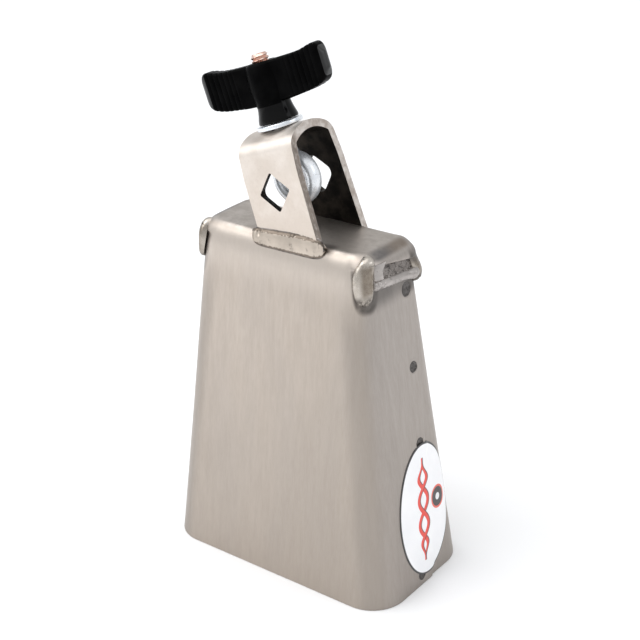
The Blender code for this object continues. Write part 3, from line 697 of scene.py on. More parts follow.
for sx, hand in ((1, "right"), (-1, "left")):
    for i, (sy, sz) in enumerate(SPOTS):
        verts, faces = [], []
        rings, seg = 9, 36
        for layer in (0, 1):
            for j in range(rings + 1):
                rr_ = (2.6 if sz > 100 else 2.12) * j / rings
                for k in range(seg if j else 1):
                    q = math.tau * k / seg
                    y, z = sy + rr_ * math.cos(q), sz + rr_ * math.sin(q)
                    wob = 1 + 0.05 * nz(math.cos(q) * 3, math.sin(q) * 3, i, 1.5, 5.0 + i)
                    y, z = sy + (y - sy) * wob, sz + (z - sz) * wob
                    d = dimple(y, z) + wave(sx * wall_x(z), y, z)
                    d += (0.06 + 0.06 * nz(y, z, 0, 0.9, 2.0 + i) + 0.05 * (1 - (j / rings) ** 2)) if layer else -0.16
                    out = 0.75 * float(sstep(z, 30.0, 120.0)) if sx < 0 else 0.0
                    verts.append((sx * (wall_x(z) + out + d * N_SIDE.x), y, z + d * N_SIDE.z))
        per = 1 + rings * seg
        for layer in (0, 1):
            o = layer * per
            for k in range(seg):
                faces.append((o, o + 1 + k, o + 1 + (k + 1) % seg))
            for j in range(rings - 1):
                p, q = o + 1 + j * seg, o + 1 + (j + 1) * seg
                for k in range(seg):
                    faces.append((p + k, q + k, q + (k + 1) % seg, p + (k + 1) % seg))
        p, q = 1 + (rings - 1) * seg, per + 1 + (rings - 1) * seg
        for k in range(seg):
            faces.append((p + k, p + (k + 1) % seg, q + (k + 1) % seg, q + k))
        ob = make(f"spot_nugget_{hand}_{i + 1}", verts, faces, SPOT, 60)
        piece(ob, "bell", "spot_weld_metal", f"spot_weld_{hand}_{i + 1}")

# ------------------------------------------------------------------ corner tabs


def corner_point(sx, sy, u, v):
    a, b, rf, rr, drop = section(min(v, 126.6))
    r = rf if sy < 0 else max(rr, 3.4)
    w = a if sy < 0 else a - lap_step(v)
    ha = r * math.pi / 4
    if u > ha:
        w += 0.75 if sx < 0 else 0.0
        return np.array((sx * w, sy * (b - r - (u - ha)), v))
    if u < -ha:
        return np.array((sx * (w - r + (u + ha)), sy * b, v))
    q = math.pi / 4 - u / r
    if sx < 0:
        w += 0.75 * math.cos(q)
    return np.array((sx * (w - r + r * math.cos(q)), sy * (b - r + r * math.sin(q)), v))


def normal_of(f, u, v, e=0.04):
    p = f(u, v)
    n = np.cross(f(u + e, v) - f(u - e, v), f(u, v + e) - f(u, v - e))
    n /= np.linalg.norm(n)
    if n @ np.array((p[0], p[1], 0.0)) < 0:
        n = -n
    return p, n


def tab(sx, sy, name, node):
    """Pinched corner of the folded crown end: a thick rounded tongue on each corner."""
    seed = 1.3 * sx + 2.7 * sy
    front = sy < 0
    if front and sx > 0:
        cu, cv, hu, hv = 0.5, 121.3, 3.35, 8.25
    elif front:
        cu, cv, hu, hv = 1.7, 122.0, 2.9, 7.0
    else:
        cu, cv, hu, hv = 0.3, 119.4, 3.1, 6.9
    f = lambda u, v: corner_point(sx, sy, u, v)
    rings, seg = 26, 120
    verts, faces = [], []
    for layer in (0, 1):
        for j in range(rings + 1):
            rho = j / rings
            for i in range(seg if j else 1):
                q = math.tau * i / seg
                c, s = math.cos(q), math.sin(q)
                pw = 2 / 2.7
                ku = rho * math.copysign(abs(c) ** pw, c)
                kv = rho * math.copysign(abs(s) ** pw, s)
                u, v = cu + hu * ku, cv + hv * kv
                # the head leans over towards the end wall, the foot stays on the corner
                u += (1.5 if front and sx > 0 else 0.5) * max(kv, 0.0) ** 2 + 0.25 * max(-kv, 0.0)
                p, n = normal_of(f, u, v)
                face_side = max(-ku, 0.0)
                if layer == 0:
                    t = -0.25 + 0.95 * float(sstep(face_side, 0.35, 0.98)) - 1.0 * max(v - 127.0, 0.0)
                else:
                    top, low = (2.45, 2.15) if sx > 0 else (2.6, 1.9)
                    if not front:
                        top, low = (1.7, 3.0) if sx > 0 else (3.0, 3.1)
                    body = lerp(low, top, float(sstep(kv, -0.6, 0.4)))
                    dome = max(1.0 - rho ** 3.2, 0.0) ** 0.55
                    t = (0.72 if face_side > 0 else 0.72 - 0.5 * max(ku, 0.0)) + body * dome
                    # slightly hollow middle between a proud face-side rim and the end wall
                    t -= 0.28 * math.exp(-((ku - 0.25) / 0.45) ** 2 - ((kv - 0.05) / 0.55) ** 2)
                    t += 0.10 * nz(p[0], p[1], p[2], 2.8, seed) * (1 - 0.5 * rho)
                    t -= 0.35 * max(v - 127.8, 0.0) ** 2
                    foot = float(sstep(-kv, 0.45, 0.85))
                    t += foot * (0.26 * nz(p[0], p[1], p[2], 0.85, seed + 4) + 0.12 * nz(p[0], p[1], p[2], 0.4, seed + 2)) * (1 - rho ** 6)
                verts.append(tuple(p + n * t))
    per = 1 + rings * seg
    for layer in (0, 1):
        o = layer * per
        for i in range(seg):
            faces.append((o, o + 1 + i, o + 1 + (i + 1) % seg))
        for j in range(rings - 1):
            p, q = o + 1 + j * seg, o + 1 + (j + 1) * seg
            for i in range(seg):
                faces.append((p + i, q + i, q + (i + 1) % seg, p + (i + 1) % seg))
    p, q = 1 + (rings - 1) * seg, per + 1 + (rings - 1) * seg
    for i in range(seg):
        faces.append((p + i, p + (i + 1) % seg, q + (i + 1) % seg, q + i))
    ob = make(name, verts, faces, TAB_FRONT if front else TAB_REAR, 55)
    return piece(ob, "bell", "weld_metal", node)


for sy, fore in ((-1, "front"), (1, "rear")):
    for sx, hand in ((1, "right"), (-1, "left")):
        tab(sx, sy, f"tab_{fore}_{hand}", f"corner_tab_{fore}_{hand}")

# ------------------------------------------------------------------ end welds


def end_weld(sx, hand):
    """Ridge of weld between the corner tabs, with the rough closed groove above it."""
    nu, nv = 120, 70
    y0, y1, z0, z1 = -10.6, 15.2, 112.9, 126.6
    verts, faces = [], []
    seed = 9.0 + sx
    for layer in (0, 1):
        for j in range(nv + 1):
            v = z0 + (z1 - z0) * j / nv
            a, b_, rf_, rr_, _ = section(v)
            for i in range(nu + 1):
                u = y0 + (min(y1, b_ - 0.9) - y0) * i / nu
                x = a - (lap_step(v) * float(sstep(u, seam_y(v) - 0.6, seam_y(v) + 1.2)))
                over = u - (b_ - rr_)
                if over > 0:
                    x -= rr_ - math.sqrt(max(rr_ * rr_ - over * over, 0.2))
                under = -u - (b_ - rf_)
                if under > 0:
                    x -= rf_ - math.sqrt(max(rf_ * rf_ - under * under, 0.2))
                if layer == 0:
                    t = -0.6
                else:
                    mid = 118.15 - 0.115 * u + 0.18 * nz(u, 0, 0, 4.0, seed)
                    hh = 1.95 + 0.15 * nz(u, 1, 0, 5.0, seed) + 0.75 * float(sstep(u, 9.0, 13.5))
                    k = max(1 - ((v - mid) / hh) ** 2, 0.0)
                    rise = 2.05 + 1.5 * float(sstep(u, 8.5, 12.5))
                    t = rise * k ** 0.5 - 0.35
                    t += 0.07 * nz(u, v, 0, 1.6, seed) * (k > 0)
                    # the closed groove, open from just behind the front tab
                    g = float(sstep(v, mid + hh * 0.80, mid + hh * 1.12))
                    floor_t = 0.55 + 0.45 * nz(u * 0.7, v, 3, 0.9, seed) + 0.14 * nz(u, v, 5, 0.4, seed)
                    fill = 2.15 + 0.10 * nz(u, v, 7, 1.2, seed)
                    filled = 1 - float(sstep(u + 0.35 * nz(u, v, 1, 1.0, seed) - 0.16 * (v - 122.4) ** 2, -6.6, -5.3))
                    floor_t -= 0.8 * float(sstep(v, lip_edge(u) - 0.4, lip_edge(u) + 0.3))
                    t = lerp(t, lerp(floor_t, fill, filled), g)
                    # a few craters where the run starts beside the front tab
                    for cy_, cz_, cr_, cd_ in ((-7.0, 117.4, 0.75, 0.9), (-5.3, 118.7, 0.55, 0.7), (-8.1, 119.6, 0.5, 0.5), (-7.8, 121.3, 0.45, 0.5)):
                        t -= cd_ * math.exp(-((u - cy_) ** 2 + (v - cz_) ** 2) / cr_ ** 2)
                    t -= 1.6 * float(sstep(-u, 9.6, 10.6)) + 3.0 * float(sstep(u, 13.2, 15.2)) ** 2
                    t = lerp(t, -0.45, 1 - float(sstep(v, z0, z0 + 0.5)))
                verts.append((sx * (x + t * N_SIDE.x), u, v + t * N_SIDE.z))
    n = nu + 1
    per = n * (nv + 1)
    for layer in (0, 1):
        faces += [tuple(f) for f in grid_faces(nv + 1, n, False, layer * per)]
    border = ([i for i in range(n)] + [j * n + n - 1 for j in range(1, nv + 1)]
              + [nv * n + i for i in range(n - 2, -1, -1)] + [j * n for j in range(nv - 1, 0, -1)])
    for i in range(len(border)):
        p, q = border[i], border[(i + 1) % len(border)]
        faces.append((p, q, per + q, per + p))
    ob = make(f"end_weld_bead_{hand}", verts, faces, [WELD_END, WELD_DARK], 60)
    # the groove faces take the dark weld metal: scale plus painted shade in the groove
    for p in ob.data.polygons:
        y, z = p.center.y / MM, p.center.z / MM
        edge = 118.15 - 0.115 * y + 2.0 + 0.40 * nz(y, 0, 0, 1.2, seed) + 0.75 * float(sstep(y, 9.0, 13.5))
        if z > edge and y - 0.16 * (z - 122.4) ** 2 > -6.3 + 0.5 * nz(y, z, 0, 0.8, seed):
            p.material_index = 1
    return piece(ob, "bell", "weld_metal", f"end_weld_{hand}")


end_weld(1, "right")
end_weld(-1, "left")

# ------------------------------------------------------------------ clamp frame
M_CLAMP = Matrix.Translation(Vector((FOOT_X, 0, BELL_H)) * MM) @ Matrix.Rotation(-TILT, 4, "Y")
LAY_YZ = Matrix(((0, 0, 1, 0), (1, 0, 0, 0), (0, 1, 0, 0), (0, 0, 0, 1)))
LAY_XZ = Matrix(((1, 0, 0, 0), (0, 0, -1, 0), (0, 1, 0, 0), (0, 0, 0, 1)))


def prism(name, pts, lo, hi, axes, mat=None):
    """Outline points in a plane, extruded from lo to hi along its normal (mm)."""
    n = len(pts)
    verts = [(x, y, lo) for x, y in pts] + [(x, y, hi) for x, y in pts]
    faces = [tuple(range(n)), tuple(range(2 * n - 1, n - 1, -1))]
    faces += [(i, (i + 1) % n, n + (i + 1) % n, n + i) for i in range(n)]
    return make(name, verts, faces, mat or [], None, matrix=M_CLAMP @ axes)


def boolean(ob, tool, op="DIFFERENCE"):
    b = ob.modifiers.new("b", "BOOLEAN")
    b.operation, b.solver, b.object = op, "EXACT", tool


def strap_path(off, rc=STRAP_CORNER_R):
    """Right half of the strap, foot to apex; off is the inward offset of the line."""
    a1, a2 = STRAP_LEG_ANGLE, STRAP_NECK_ANGLE
    knee_x, knee_z = STRAP_HALF_FOOT - STRAP_KNEE_Z * math.tan(a1), STRAP_KNEE_Z
    c1 = knee_x * math.cos(a1) + knee_z * math.sin(a1) - off
    c2 = knee_x * math.cos(a2) + knee_z * math.sin(a2) - off
    foot = -6.0
    line = [((c1 - z * math.sin(a1)) / math.cos(a1), z) for z in (foot, STRAP_KNEE_Z - 3.5)]
    # eased knee between the two straight runs
    for f in (0.25, 0.5, 0.75, 1.0):
        z = STRAP_KNEE_Z - 3.5 + 7.0 * f
        xa = (c1 - z * math.sin(a1)) / math.cos(a1)
        xb = (c2 - z * math.sin(a2)) / math.cos(a2)
        line.append((lerp(xa, xb, float(sstep(f, -0.2, 1.0))), z))
    low = STRAP_TOP - STRAP_CROWN_R
    k = c2 + off - rc - low * math.sin(a2)
    w = STRAP_CROWN_R - rc
    q = math.acos(k / w)
    cx, cz = w * math.cos(a2 + q), low + w * math.sin(a2 + q)
    turn = math.degrees(a2 + q)
    line += arc(cx, cz, rc - off, math.degrees(a2), turn, 12)
    line += arc(0.0, low, STRAP_CROWN_R - off, turn, 90.0, 16)[1:-1]
    return line


def hole_tool(name, half_out, r_out, half_in, r_in, sy):
    """Rounded-diamond punch, a little wider where it breaks through the inside of the leg."""
    def outline(half, r):
        d = half - r * math.sqrt(2)
        pts = []
        for k, (px, py) in enumerate(((d, 0), (0, d), (-d, 0), (0, -d))):
            pts += arc(px, py + ROD_Z, r, -45 + 90 * k, 45 + 90 * k, 8)
        return pts
    a, b = outline(half_out, r_out), outline(half_in, r_in)
    n = len(a)
    verts, faces = [], []
    for pts, y in ((a, 25.0), (a, 12.2), (b, 10.2), (b, 0.5)):
        verts += [(x, sy * y, z) for x, z in pts]
    faces = grid_faces(4, n)
    faces.append(tuple(range(n)))
    faces.append(tuple(3 * n + i for i in range(n)))
    return make(name, verts, faces, [], None, matrix=M_CLAMP)


def strap():
    outer, inner = strap_path(0.0, 6.0), strap_path(STRAP_T)
    pts = (outer + [(0.0, STRAP_TOP)] + [(-x, z) for x, z in outer[::-1]]
           + [(-x, z) for x, z in inner] + [(0.0, STRAP_TOP - STRAP_T)] + inner[::-1])
    ob = prism("strap_bracket", pts, -STRAP_W / 2, STRAP_W / 2, LAY_YZ, [STRAP, STRAP_EDGE, STRAP_IN])
    tools = [hole_tool("t1", 7.05, 0.7, 7.85, 2.6, -1), hole_tool("t1b", 7.3, 1.6, 8.0, 3.0, 1),
             prism("t2", arc(0, 0, 3.52, 0, 360, 48)[:-1], 28, 42, Matrix.Identity(4))]
    edge = [(face_y(z) + 0.08, z + 0.10) for z in list(np.linspace(100, 120, 5)) + list(np.linspace(121, 128, 8)) + [128.6, 129.1, 129.5, 129.8, 130.0]]
    edge += [(-y, z) for y, z in edge[::-1]]
    ne = len(edge)
    v = [(-60.0, y, z) for y, z in edge] + [(60.0, y, z) for y, z in edge]
    f = grid_faces(2, ne)
    f += [tuple(range(ne)), tuple(ne + k for k in range(ne))]
    t3 = make("t3", v, f, [], None)
    tools.append(t3)
    for t in tools:
        boolean(ob, t)
    apply_all(ob)
    for t in tools:
        bpy.data.objects.remove(t, do_unlink=True)
    # classify faces before the edges are rounded
    inv = M_CLAMP.inverted()
    low = STRAP_TOP - STRAP_CROWN_R
    for p in ob.data.polygons:
        c = inv @ p.center / MM
        nn = (inv.to_3x3() @ p.normal).normalized()
        half = STRAP_HALF_FOOT - math.tan(STRAP_LEG_ANGLE) * c.z
        if c.z > STRAP_KNEE_Z:
            half = STRAP_HALF_FOOT - math.tan(STRAP_LEG_ANGLE) * STRAP_KNEE_Z - math.tan(STRAP_NECK_ANGLE) * (c.z - STRAP_KNEE_Z)
        depth = min((half - abs(c.y)) if c.z < 33.5 else 9.0, STRAP_CROWN_R - math.hypot(c.y, c.z - low) if c.z > 31 else 9.0)
        if abs(nn.x) > 0.8 and abs(c.x) > STRAP_W / 2 - 0.4:
            p.material_index = 1
        elif depth > 1.9:
            p.material_index = 2
        elif depth > 1.0 or (abs(nn.y) < 0.5 and abs(c.x) < 9 and c.z < 28):
            p.material_index = 2
        else:
            p.material_index = 0
    b = ob.modifiers.new("edges", "BEVEL")
    b.width = 0.24 * MM
    b.segments = 3
    b.limit_method = "ANGLE"
    b.angle_limit = math.radians(40)
    b.material = -1
    b.use_clamp_overlap = True
    apply_all(ob)
    ob.data.shade_smooth()
    ob.data.set_sharp_from_angle(angle=math.radians(38))
    w = ob.modifiers.new("wn", "WEIGHTED_NORMAL")
    w.keep_sharp = True
    apply_all(ob)
    return piece(ob, "bell", "strap_steel", "mounting_bracket")


strap()

# ------------------------------------------------------------------ bracket welds


def bracket_bead(sy, x0, x1, name, node):
    st, m = 120, 34
    seed = 3.3 + sy
    verts, faces = [], []
    for i in range(st + 1):
        f = i / st
        g = 0.5 - 0.5 * math.cos(math.pi * f)
        x = x0 + (x1 - x0) * g
        e = max(1 - abs(2 * g - 1) ** 9, 0.0) ** 0.5
        w = 0.08 + 0.92 * e
        za, zb = 129.6, lerp(129.0, 125.3 + 0.5 * f, w)
        pa = np.array((face_y(za) - 0.3, za))
        pb = np.array((face_y(zb) - 0.06, zb))
        lean = math.tan(STRAP_LEG_ANGLE)
        topz = BELL_H + 0.1 + (1.9 + 0.2 * math.sin(0.21 * x) + (2.4 * f if sy < 0 else 0.6 * f)) * w + 0.10 * nz(x, 0, 0, 2.4, seed)
        pc = np.array((STRAP_HALF_FOOT - lean * (topz - BELL_H) - 0.3, topz))
        loop = []
        for k in range(m):
            s = k / (m - 1)
            p = pb * (1 - s) + pc * s
            dirn = np.array((pc[1] - pb[1], -(pc[0] - pb[0])))
            dirn /= np.linalg.norm(dirn)
            dome = (4 * s * (1 - s)) ** 0.42
            bulge = (1.00 + 0.30 * (1 - s)) * dome * w
            bulge -= 0.30 * w * math.exp(-((s - 0.90) / 0.07) ** 2)           # crevice under the leg
            bulge -= 0.22 * w * math.exp(-((s - 0.07) / 0.05) ** 2)           # toe of the weld
            bulge += 0.07 * w * nz(x * 0.6 + 1.8 * s, 4 * s, 0, 1.0, seed) * math.sin(math.pi * s)
            edge_k = math.exp(-((s - 0.93) / 0.08) ** 2) + math.exp(-((s - 0.07) / 0.08) ** 2)
            bulge += 0.16 * w * nz(x, 9 * s, 2, 0.55, seed) * edge_k
            # starting lump and its crater, and the sunk end
            bulge += 0.35 * math.exp(-((x - x0 - 2.2) / 1.0) ** 2 - ((s - 0.45) / 0.3) ** 2)
            bulge -= 0.55 * math.exp(-((x - x0 - 3.6) / 0.8) ** 2 - ((s - 0.70) / 0.16) ** 2)
            bulge -= 0.50 * math.exp(-((x - x1 + 2.6) / 1.0) ** 2 - ((s - 0.62) / 0.22) ** 2)
            loop.append(p + dirn * bulge)
        loop.append(pa)
        loop.append((pa + pb) / 2 - np.array((0.5, 0.5)))
        for p in loop:
            verts.append((x, sy * p[0], p[1]))
    n = m + 2
    faces = grid_faces(st + 1, n)
    faces.append(tuple(range(n)))
    faces.append(tuple(st * n + k for k in range(n)))
    ob = make(name, verts, faces, [BEAD, WELD_DARK, BEAD_TOE], 55)
    for p in ob.data.polygons:
        i, k = divmod(p.index, n)
        s = (k + 0.5) / (m - 1)
        c = p.center / MM
        if k >= m - 1:
            continue
        # crevices and the sunk end take the dark weld metal, the bands along both edges the darker toe metal: tint and
        # scale with painted shade
        if s > 0.93 + 0.03 * nz(c.x, 0, 0, 0.5, seed) or s < 0.06 + 0.03 * nz(c.x, 3, 0, 0.5, seed) or (i > st - 8 and s > 0.35):
            p.material_index = 1
        elif s > 0.78 + 0.07 * nz(c.x, 0, 0, 0.30, seed) or s < 0.17 + 0.06 * nz(c.x, 3, 0, 0.34, seed):
            p.material_index = 2
    return piece(ob, "bell", "weld_metal", node)


bracket_bead(-1, -12.3, 19.4, "fillet_weld_front", "bracket_weld_front")
bracket_bead(1, -9.0, 16.2, "fillet_weld_rear", "bracket_weld_rear")

# ------------------------------------------------------------------ label


def label_x(y, z):
    a, b, rf, rr, _ = section(z)
    ys = seam_y(z)
    x = a - lap_step(z) * float(sstep(y, ys - 0.1, ys + 2.6)) * 0.92
    over = y - (b - rr)
    if over > 0:
        x -= rr - math.sqrt(rr * rr - over * over)
    under = -y - (b - rf)
    if under > 0:
        x -= rf - math.sqrt(rf * rf - under * under)
    return x


LW = np.array((0, math.cos(LABEL_TILT), -math.sin(LABEL_TILT)))          # short axis
LH = Vector((0.0, math.sin(LABEL_TILT), math.cos(LABEL_TILT)))
origin = Vector((label_x(LABEL_Y, LABEL_Z), LABEL_Y, LABEL_Z))
zax = Vector(N_SIDE)
yax = (LH - zax * LH.dot(zax)).normalized()
xax = yax.cross(zax)
M_LABEL = Matrix((xax, yax, zax)).transposed().to_4x4()
M_LABEL.translation = origin * MM
inv = M_LABEL.inverted()
verts, faces = [], []
rings, seg = 26, 120
for layer in (0, 1):
    for j in range(rings + 1):
        rho = 1 - (1 - j / rings) ** 1.25
        for i in range(seg if j else 1):
            q = math.tau * i / seg
            u, v = LABEL_HW * rho * math.cos(q), LABEL_HH * rho * math.sin(q)
            y = LABEL_Y + u * math.cos(LABEL_TILT) + v * math.sin(LABEL_TILT)
            z = LABEL_Z + v * math.cos(LABEL_TILT) - u * math.sin(LABEL_TILT)
            t = (0.22 if j < rings else 0.10) if layer else 0.02
            # pressed a little into the spot weld that it covers
            t -= 0.10 * math.exp(-(math.hypot(y - 1.4, z - 27.0) / 1.9) ** 2) if layer else 0.0
            t += 0.05 + wave(label_x(y, z), y, z)
            p = Vector((label_x(y, z), y, z)) + N_SIDE * t
            verts.append(tuple(inv @ (p * MM)))
per = 1 + rings * seg
for layer in (0, 1):
    o = layer * per
    for i in range(seg):
        faces.append((o, o + 1 + i, o + 1 + (i + 1) % seg))
    for j in range(rings - 1):
        p, q = o + 1 + j * seg, o + 1 + (j + 1) * seg
        for i in range(seg):
            faces.append((p + i, q + i, q + (i + 1) % seg, p + (i + 1) % seg))
p, q = 1 + (rings - 1) * seg, per + 1 + (rings - 1) * seg
for i in range(seg):
    faces.append((p + i, p + (i + 1) % seg, q + (i + 1) % seg, q + i))
label = make("oval_label", verts, faces, LABEL, 50, mm=False)
label.matrix_world = M_LABEL
piece(label, "bell", "label_vinyl", "side_label")

# ------------------------------------------------------------------ eye bolt


def rounded_profile(r_in, r_out, hw, c_out, c_in, crown):
    pts = arc(r_out - c_out, hw - c_out, c_out, 90, 10, 7)
    pts += [(r_out - 0.02 + crown, 0.45 * hw), (r_out + crown * 1.15, 0.0), (r_out - 0.02 + crown, -0.45 * hw)]
    pts += arc(r_out - c_out, -hw + c_out, c_out, -10, -90, 7)
    pts += arc(r_in + c_in, -hw + c_in, c_in, -90, -180, 7)
    pts += arc(r_in + c_in, hw - c_in, c_in, 180, 90, 7)
    return pts


def eye_bolt():
    mid, half = (EYE_R_OUT + EYE_R_IN) / 2, (EYE_R_OUT - EYE_R_IN) / 2
    ring = []
    for k in range(40):
        q = math.tau * k / 40
        c, s_ = math.cos(q), math.sin(q)
        ring.append((mid + half * math.copysign(abs(c) ** 0.86, c), EYE_HALF_W * math.copysign(abs(s_) ** 0.86, s_)))
    verts, faces = lathe(ring, 96)
    R = Matrix.Rotation(math.radians(90), 4, "X")
    out = []
    for v in verts:
        p = R @ Vector(v)
        k = 1.0 + 0.004 * nz(p.x, p.y, p.z, 3.0, 1.0)
        out.append((p.x * k, p.y * k, p.z * k + EYE_Z))
    # forged neck and threaded shank
    z_lo, z_hi = EYE_Z + 7.0, SHANK_TOP
    seg = 40
    zs = list(np.arange(z_lo, EYE_Z + 11.2, 0.35)) + list(np.arange(EYE_Z + 11.3, z_hi - 0.001, PITCH / 8)) + [z_hi]
    base = len(out)
    depth = 0.62
    for z in zs:
        for i in range(seg):
            q = math.tau * i / seg
            if z < EYE_Z + 11.3:
                s = (z - EYE_Z - 7.0) / 4.3
                r = SHANK_R + 1.25 * (1 - s) ** 2
                if s > 0.9:
                    r = min(r, SHANK_R)
            else:
                ph = ((z / PITCH) - q / math.tau) % 1.0
                tri = abs(2 * ph - 1)                     # 0 at root middle, 1 at crest
                tri = min(max((tri - 0.12) / 0.76, 0.0), 1.0)
                fade = float(sstep(z, EYE_Z + 11.3, EYE_Z + 12.6))
                r = SHANK_R - depth * (1 - tri) * fade
                r = min(r, SHANK_R - 0.75 * float(sstep(z, z_hi - 0.9, z_hi)))
            out.append((r * math.cos(q), r * math.sin(q), z))
    f2 = grid_faces(len(zs), seg, True, base)
    f2.append(tuple(base + i for i in range(seg)))
    f2.append(tuple(base + (len(zs) - 1) * seg + i for i in range(seg)))
    ob = make("eye_bolt_forged", out, faces + f2, [EYE, THREAD], 50, matrix=M_CLAMP)
    invc = M_CLAMP.inverted()
    for p in ob.data.polygons:
        if (invc @ p.center).z / MM > 56.0:
            p.material_index = 1
    return piece(ob, "eye_bolt", "zinc_plate", "eye_bolt")


eye_bolt()

# ------------------------------------------------------------------ washer
w0 = STRAP_TOP + 0.12
prof = [(SHANK_R + 0.35, w0 + 0.25), (SHANK_R + 0.5, w0 + WASHER_T)] 
prof = (arc(WASHER_R - 0.38, w0 + WASHER_T - 0.38, 0.38, 90, 0, 4) + arc(WASHER_R - 0.2, w0 + 0.2, 0.2, 0, -90, 3)
        + arc(SHANK_R + 0.55, w0 + 0.2, 0.2, -90, -180, 3) + arc(SHANK_R + 0.65, w0 + WASHER_T - 0.3, 0.3, 180, 90, 3))
verts, faces = lathe(prof, 72)
ob = make("plain_washer", verts, faces, ZINC, 60, matrix=M_CLAMP)
piece(ob, "washer", "zinc_plate", "flat_washer")

# ------------------------------------------------------------------ wing knob
M_KNOB = M_CLAMP @ Matrix.Rotation(KNOB_TURN, 4, "Z")


def wing_edge():
    """Upper and lower edge of the bar against |x| from the middle to the tip."""
    xs = np.array((0, 5, 9, 14, 17.6, 20.2, 22.3, 23.5, 24.5, 25.3, 26.0))
    up = np.array((60.05, 60.0, 60.05, 60.2, 60.5, 61.1, 61.6, 61.5, 60.8, 59.5, 57.0))
    lo = np.array((45.5, 45.5, 45.7, 46.2, 46.6, 47.1, 47.7, 48.3, 49.1, 50.4, 53.0))
    return xs, up, lo


def knob():
    xs, up, lo = wing_edge()
    # bar lofted along X: each station is a rounded rectangle, the tips full round in plan
    r_end, L = 3.3, 25.96
    tip = [L - r_end * (1 - math.sin(math.radians(a))) for a in np.linspace(0, 86, 20)]
    half = list(np.linspace(0, 8, 10)) + list(np.arange(8.24, L - r_end - 0.1, 0.24)) + tip
    st = [-x for x in half[::-1]][:-1] + half
    verts, faces = [], []
    m = 44
    for x in st:
        ax = abs(x)
        u = float(np.interp(ax, xs, up))
        l = float(np.interp(ax, xs, lo))
        for d in (0.6, -0.6):
            u += float(np.interp(abs(x + d), xs, up))
            l += float(np.interp(abs(x + d), xs, lo))
        u, l = u / 3, l / 3
        e = max(ax - (L - r_end), 0.0) / r_end
        half_t = 3.25 * math.sqrt(max(1 - e * e, 0.004))
        h = (u - l) / 2
        c = (u + l) / 2
        r = min(1.2, half_t - 0.02, h - 0.05)
        loop = []
        for (sy_, sz_, a0) in ((1, 1, 0), (-1, 1, 90), (-1, -1, 180), (1, -1, 270)):
            for k in range(11):
                q = math.radians(a0 + 90 * k / 10)
                loop.append((sy_ * (half_t - r) + r * math.cos(q), c + sz_ * (h - r) + r * math.sin(q)))
        # grip ribs: fine grooves across both faces and over the edges of each wing
        ph = (ax - 10.0) / 2.1 % 1.0
        rib = math.exp(-((ph - 0.5) / 0.15) ** 2) * float(sstep(ax, 10.6, 11.6)) * (1 - float(sstep(ax, 22.4, 23.2)))
        for y, z in loop:
            verts.append((x, y * (1 - 0.105 * rib), c + (z - c) * (1 - 0.022 * rib)))
    faces = grid_faces(len(st), m)
    faces.append(tuple(range(m)))
    faces.append(tuple((len(st) - 1) * m + k for k in range(m)))
    ob = make("knob_wings", verts, faces, [PLASTIC, HUB, TIP], 45, matrix=M_KNOB)
    # hub, turned
    k0 = STRAP_TOP + 0.3 + WASHER_T + 0.15
    prof = [(3.7, 60.1), (4.4, 60.15), (5.0, 60.0), (5.5, 59.6), (5.9, 59.0), (6.4, 56.5), (6.6, 52), (6.35, 48.6),
            (6.05, 46.8), (6.0, 45.2), (6.12, 44), (6.4, 42.6), (6.8, 41.2), (7.05, 40.2), (7.1, k0 + 0.35), (6.95, k0 + 0.08), (6.7, k0), (4.8, k0),
            (4.75, 57.0), (3.6, 57.2)]
    v2, f2 = lathe(prof, 72)
    hub = make("hub_tool", v2, f2, [HUB], 45, matrix=M_KNOB)
    # bore the bar for the insert before the hub joins it
    v3, f3 = lathe([(0.0001, 66), (3.6, 66), (3.6, 57.1), (4.78, 57.1), (4.78, 40), (0.0001, 40)], 48, closed=False)
    bore = make("bore_tool", v3, f3, [HUB], 45, matrix=M_KNOB)
    boolean(ob, bore)
    boolean(ob, hub, "UNION")
    apply_all(ob)
    bpy.data.objects.remove(hub, do_unlink=True)
    bpy.data.objects.remove(bore, do_unlink=True)
    ob.data.shade_smooth()
    ob.data.set_sharp_from_angle(angle=math.radians(40))
    inv = M_KNOB.inverted()
    for p in ob.data.polygons:
        c = inv @ p.center / MM
        p.material_index = 1 if c.z < 45.9 and math.hypot(c.x, c.y) < 8 else (2 if c.x > 24.9 or c.x < -22.9 else 0)
    ob.name = "wing_knob_moulded"
    return piece(ob, "knob", "black_plastic", "wing_knob")


knob()

k0 = STRAP_TOP + 0.3 + WASHER_T + 0.2
prof = [(3.5, 56.9), (4.2, 56.9), (4.6, 56.5)]
zz = 56.0
while zz > k0 + 1.2:
    prof += [(4.66, zz), (4.66, zz - 0.7), (4.45, zz - 0.85), (4.45, zz - 1.15)]
    zz -= 1.3
prof += [(4.6, k0 + 0.3), (4.3, k0), (3.6, k0), (3.42, k0 + 0.2)]
verts, faces = lathe(prof, 48)
ob = make("brass_insert", verts, faces, BRASS, 40, matrix=M_KNOB)
piece(ob, "knob", "insert_brass", "threaded_insert")

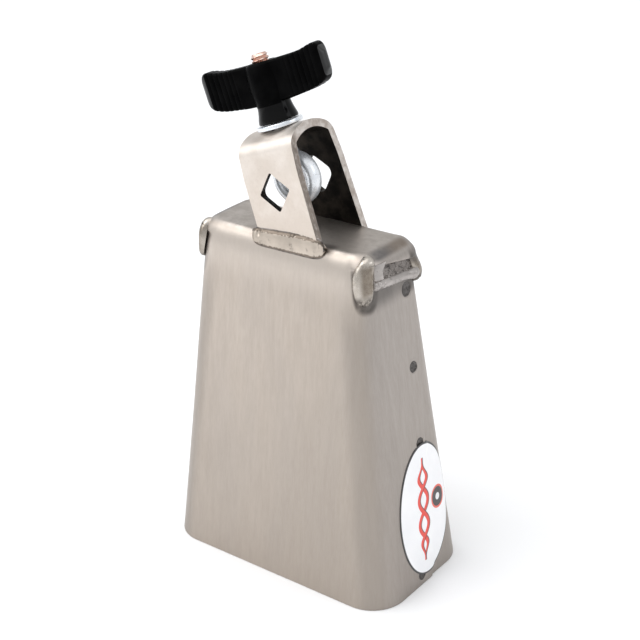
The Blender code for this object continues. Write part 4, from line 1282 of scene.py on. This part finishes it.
# ------------------------------------------------------------------ floor, light, camera
bm = bmesh.new()
bmesh.ops.create_grid(bm, x_segments=8, y_segments=8, size=3.0)
me = bpy.data.meshes.new("floor")
bm.to_mesh(me)
bm.free()
floor = bpy.data.objects.new("floor", me)
bpy.context.scene.collection.objects.link(floor)
fm = Mat("floor_paper")
fn = fm.noise((3, 3, 3), detail=2)
fm.put(color=fm.mix(fm.ramp(fn, 0.3, 0.7), (0.945, 0.945, 0.95), (0.96, 0.96, 0.965)), rough=0.9, spec=0.1)
me.materials.append(fm.m)


def area(name, loc, target, size, power, color=(1, 1, 1), size_y=None):
    l = bpy.data.lights.new(name, "AREA")
    l.shape = "RECTANGLE"
    l.size = size
    l.size_y = size_y or size
    l.energy = power
    l.color = color
    o = bpy.data.objects.new(name, l)
    bpy.context.scene.collection.objects.link(o)
    d = Vector(target) - Vector(loc)
    o.rotation_euler = d.to_track_quat("-Z", "Y").to_euler()
    o.location = loc
    return o


area("key", (-0.75, -0.62, 1.05), (0, 0, 0.09), 1.15, 6.4)
area("top", (-0.35, -0.2, 1.5), (0, 0, 0.0), 1.6, 8.0)
area("rim", (0.9, 0.35, 0.7), (0, 0, 0.1), 0.5, 1.0, (0.95, 0.97, 1.0))

world = bpy.data.worlds.new("studio")
bpy.context.scene.world = world
world.use_nodes = True
nt = world.node_tree
bg = nt.nodes["Background"]
bg.inputs[0].default_value = (0.97, 0.985, 1.0, 1)
bg.inputs[1].default_value = 0.84

cam_data = bpy.data.cameras.new("camera")
cam_data.sensor_width = 36.0
cam_data.lens = 36.0 * 1414.1 / 640.0
cam_data.clip_start = 0.01
cam = bpy.data.objects.new("camera", cam_data)
bpy.context.scene.collection.objects.link(cam)
AZ, EL, ROLL, DIST = math.radians(38.51), math.radians(25.111), math.radians(-2.128), 0.508194
back = Vector((math.sin(AZ) * math.cos(EL), -math.cos(AZ) * math.cos(EL), math.sin(EL)))
right = (-back).cross(Vector((0, 0, 1))).normalized()
up = right.cross(-back)
r2 = math.cos(ROLL) * right + math.sin(ROLL) * up
u2 = -math.sin(ROLL) * right + math.cos(ROLL) * up
mw = Matrix((r2, u2, back)).transposed().to_4x4()
mw.translation = Vector((0.005789, 0.0, 0.095021)) + back * DIST
cam.matrix_world = mw
sc = bpy.context.scene
sc.camera = cam
sc.view_settings.view_transform = "Standard"
sc.view_settings.look = "None"
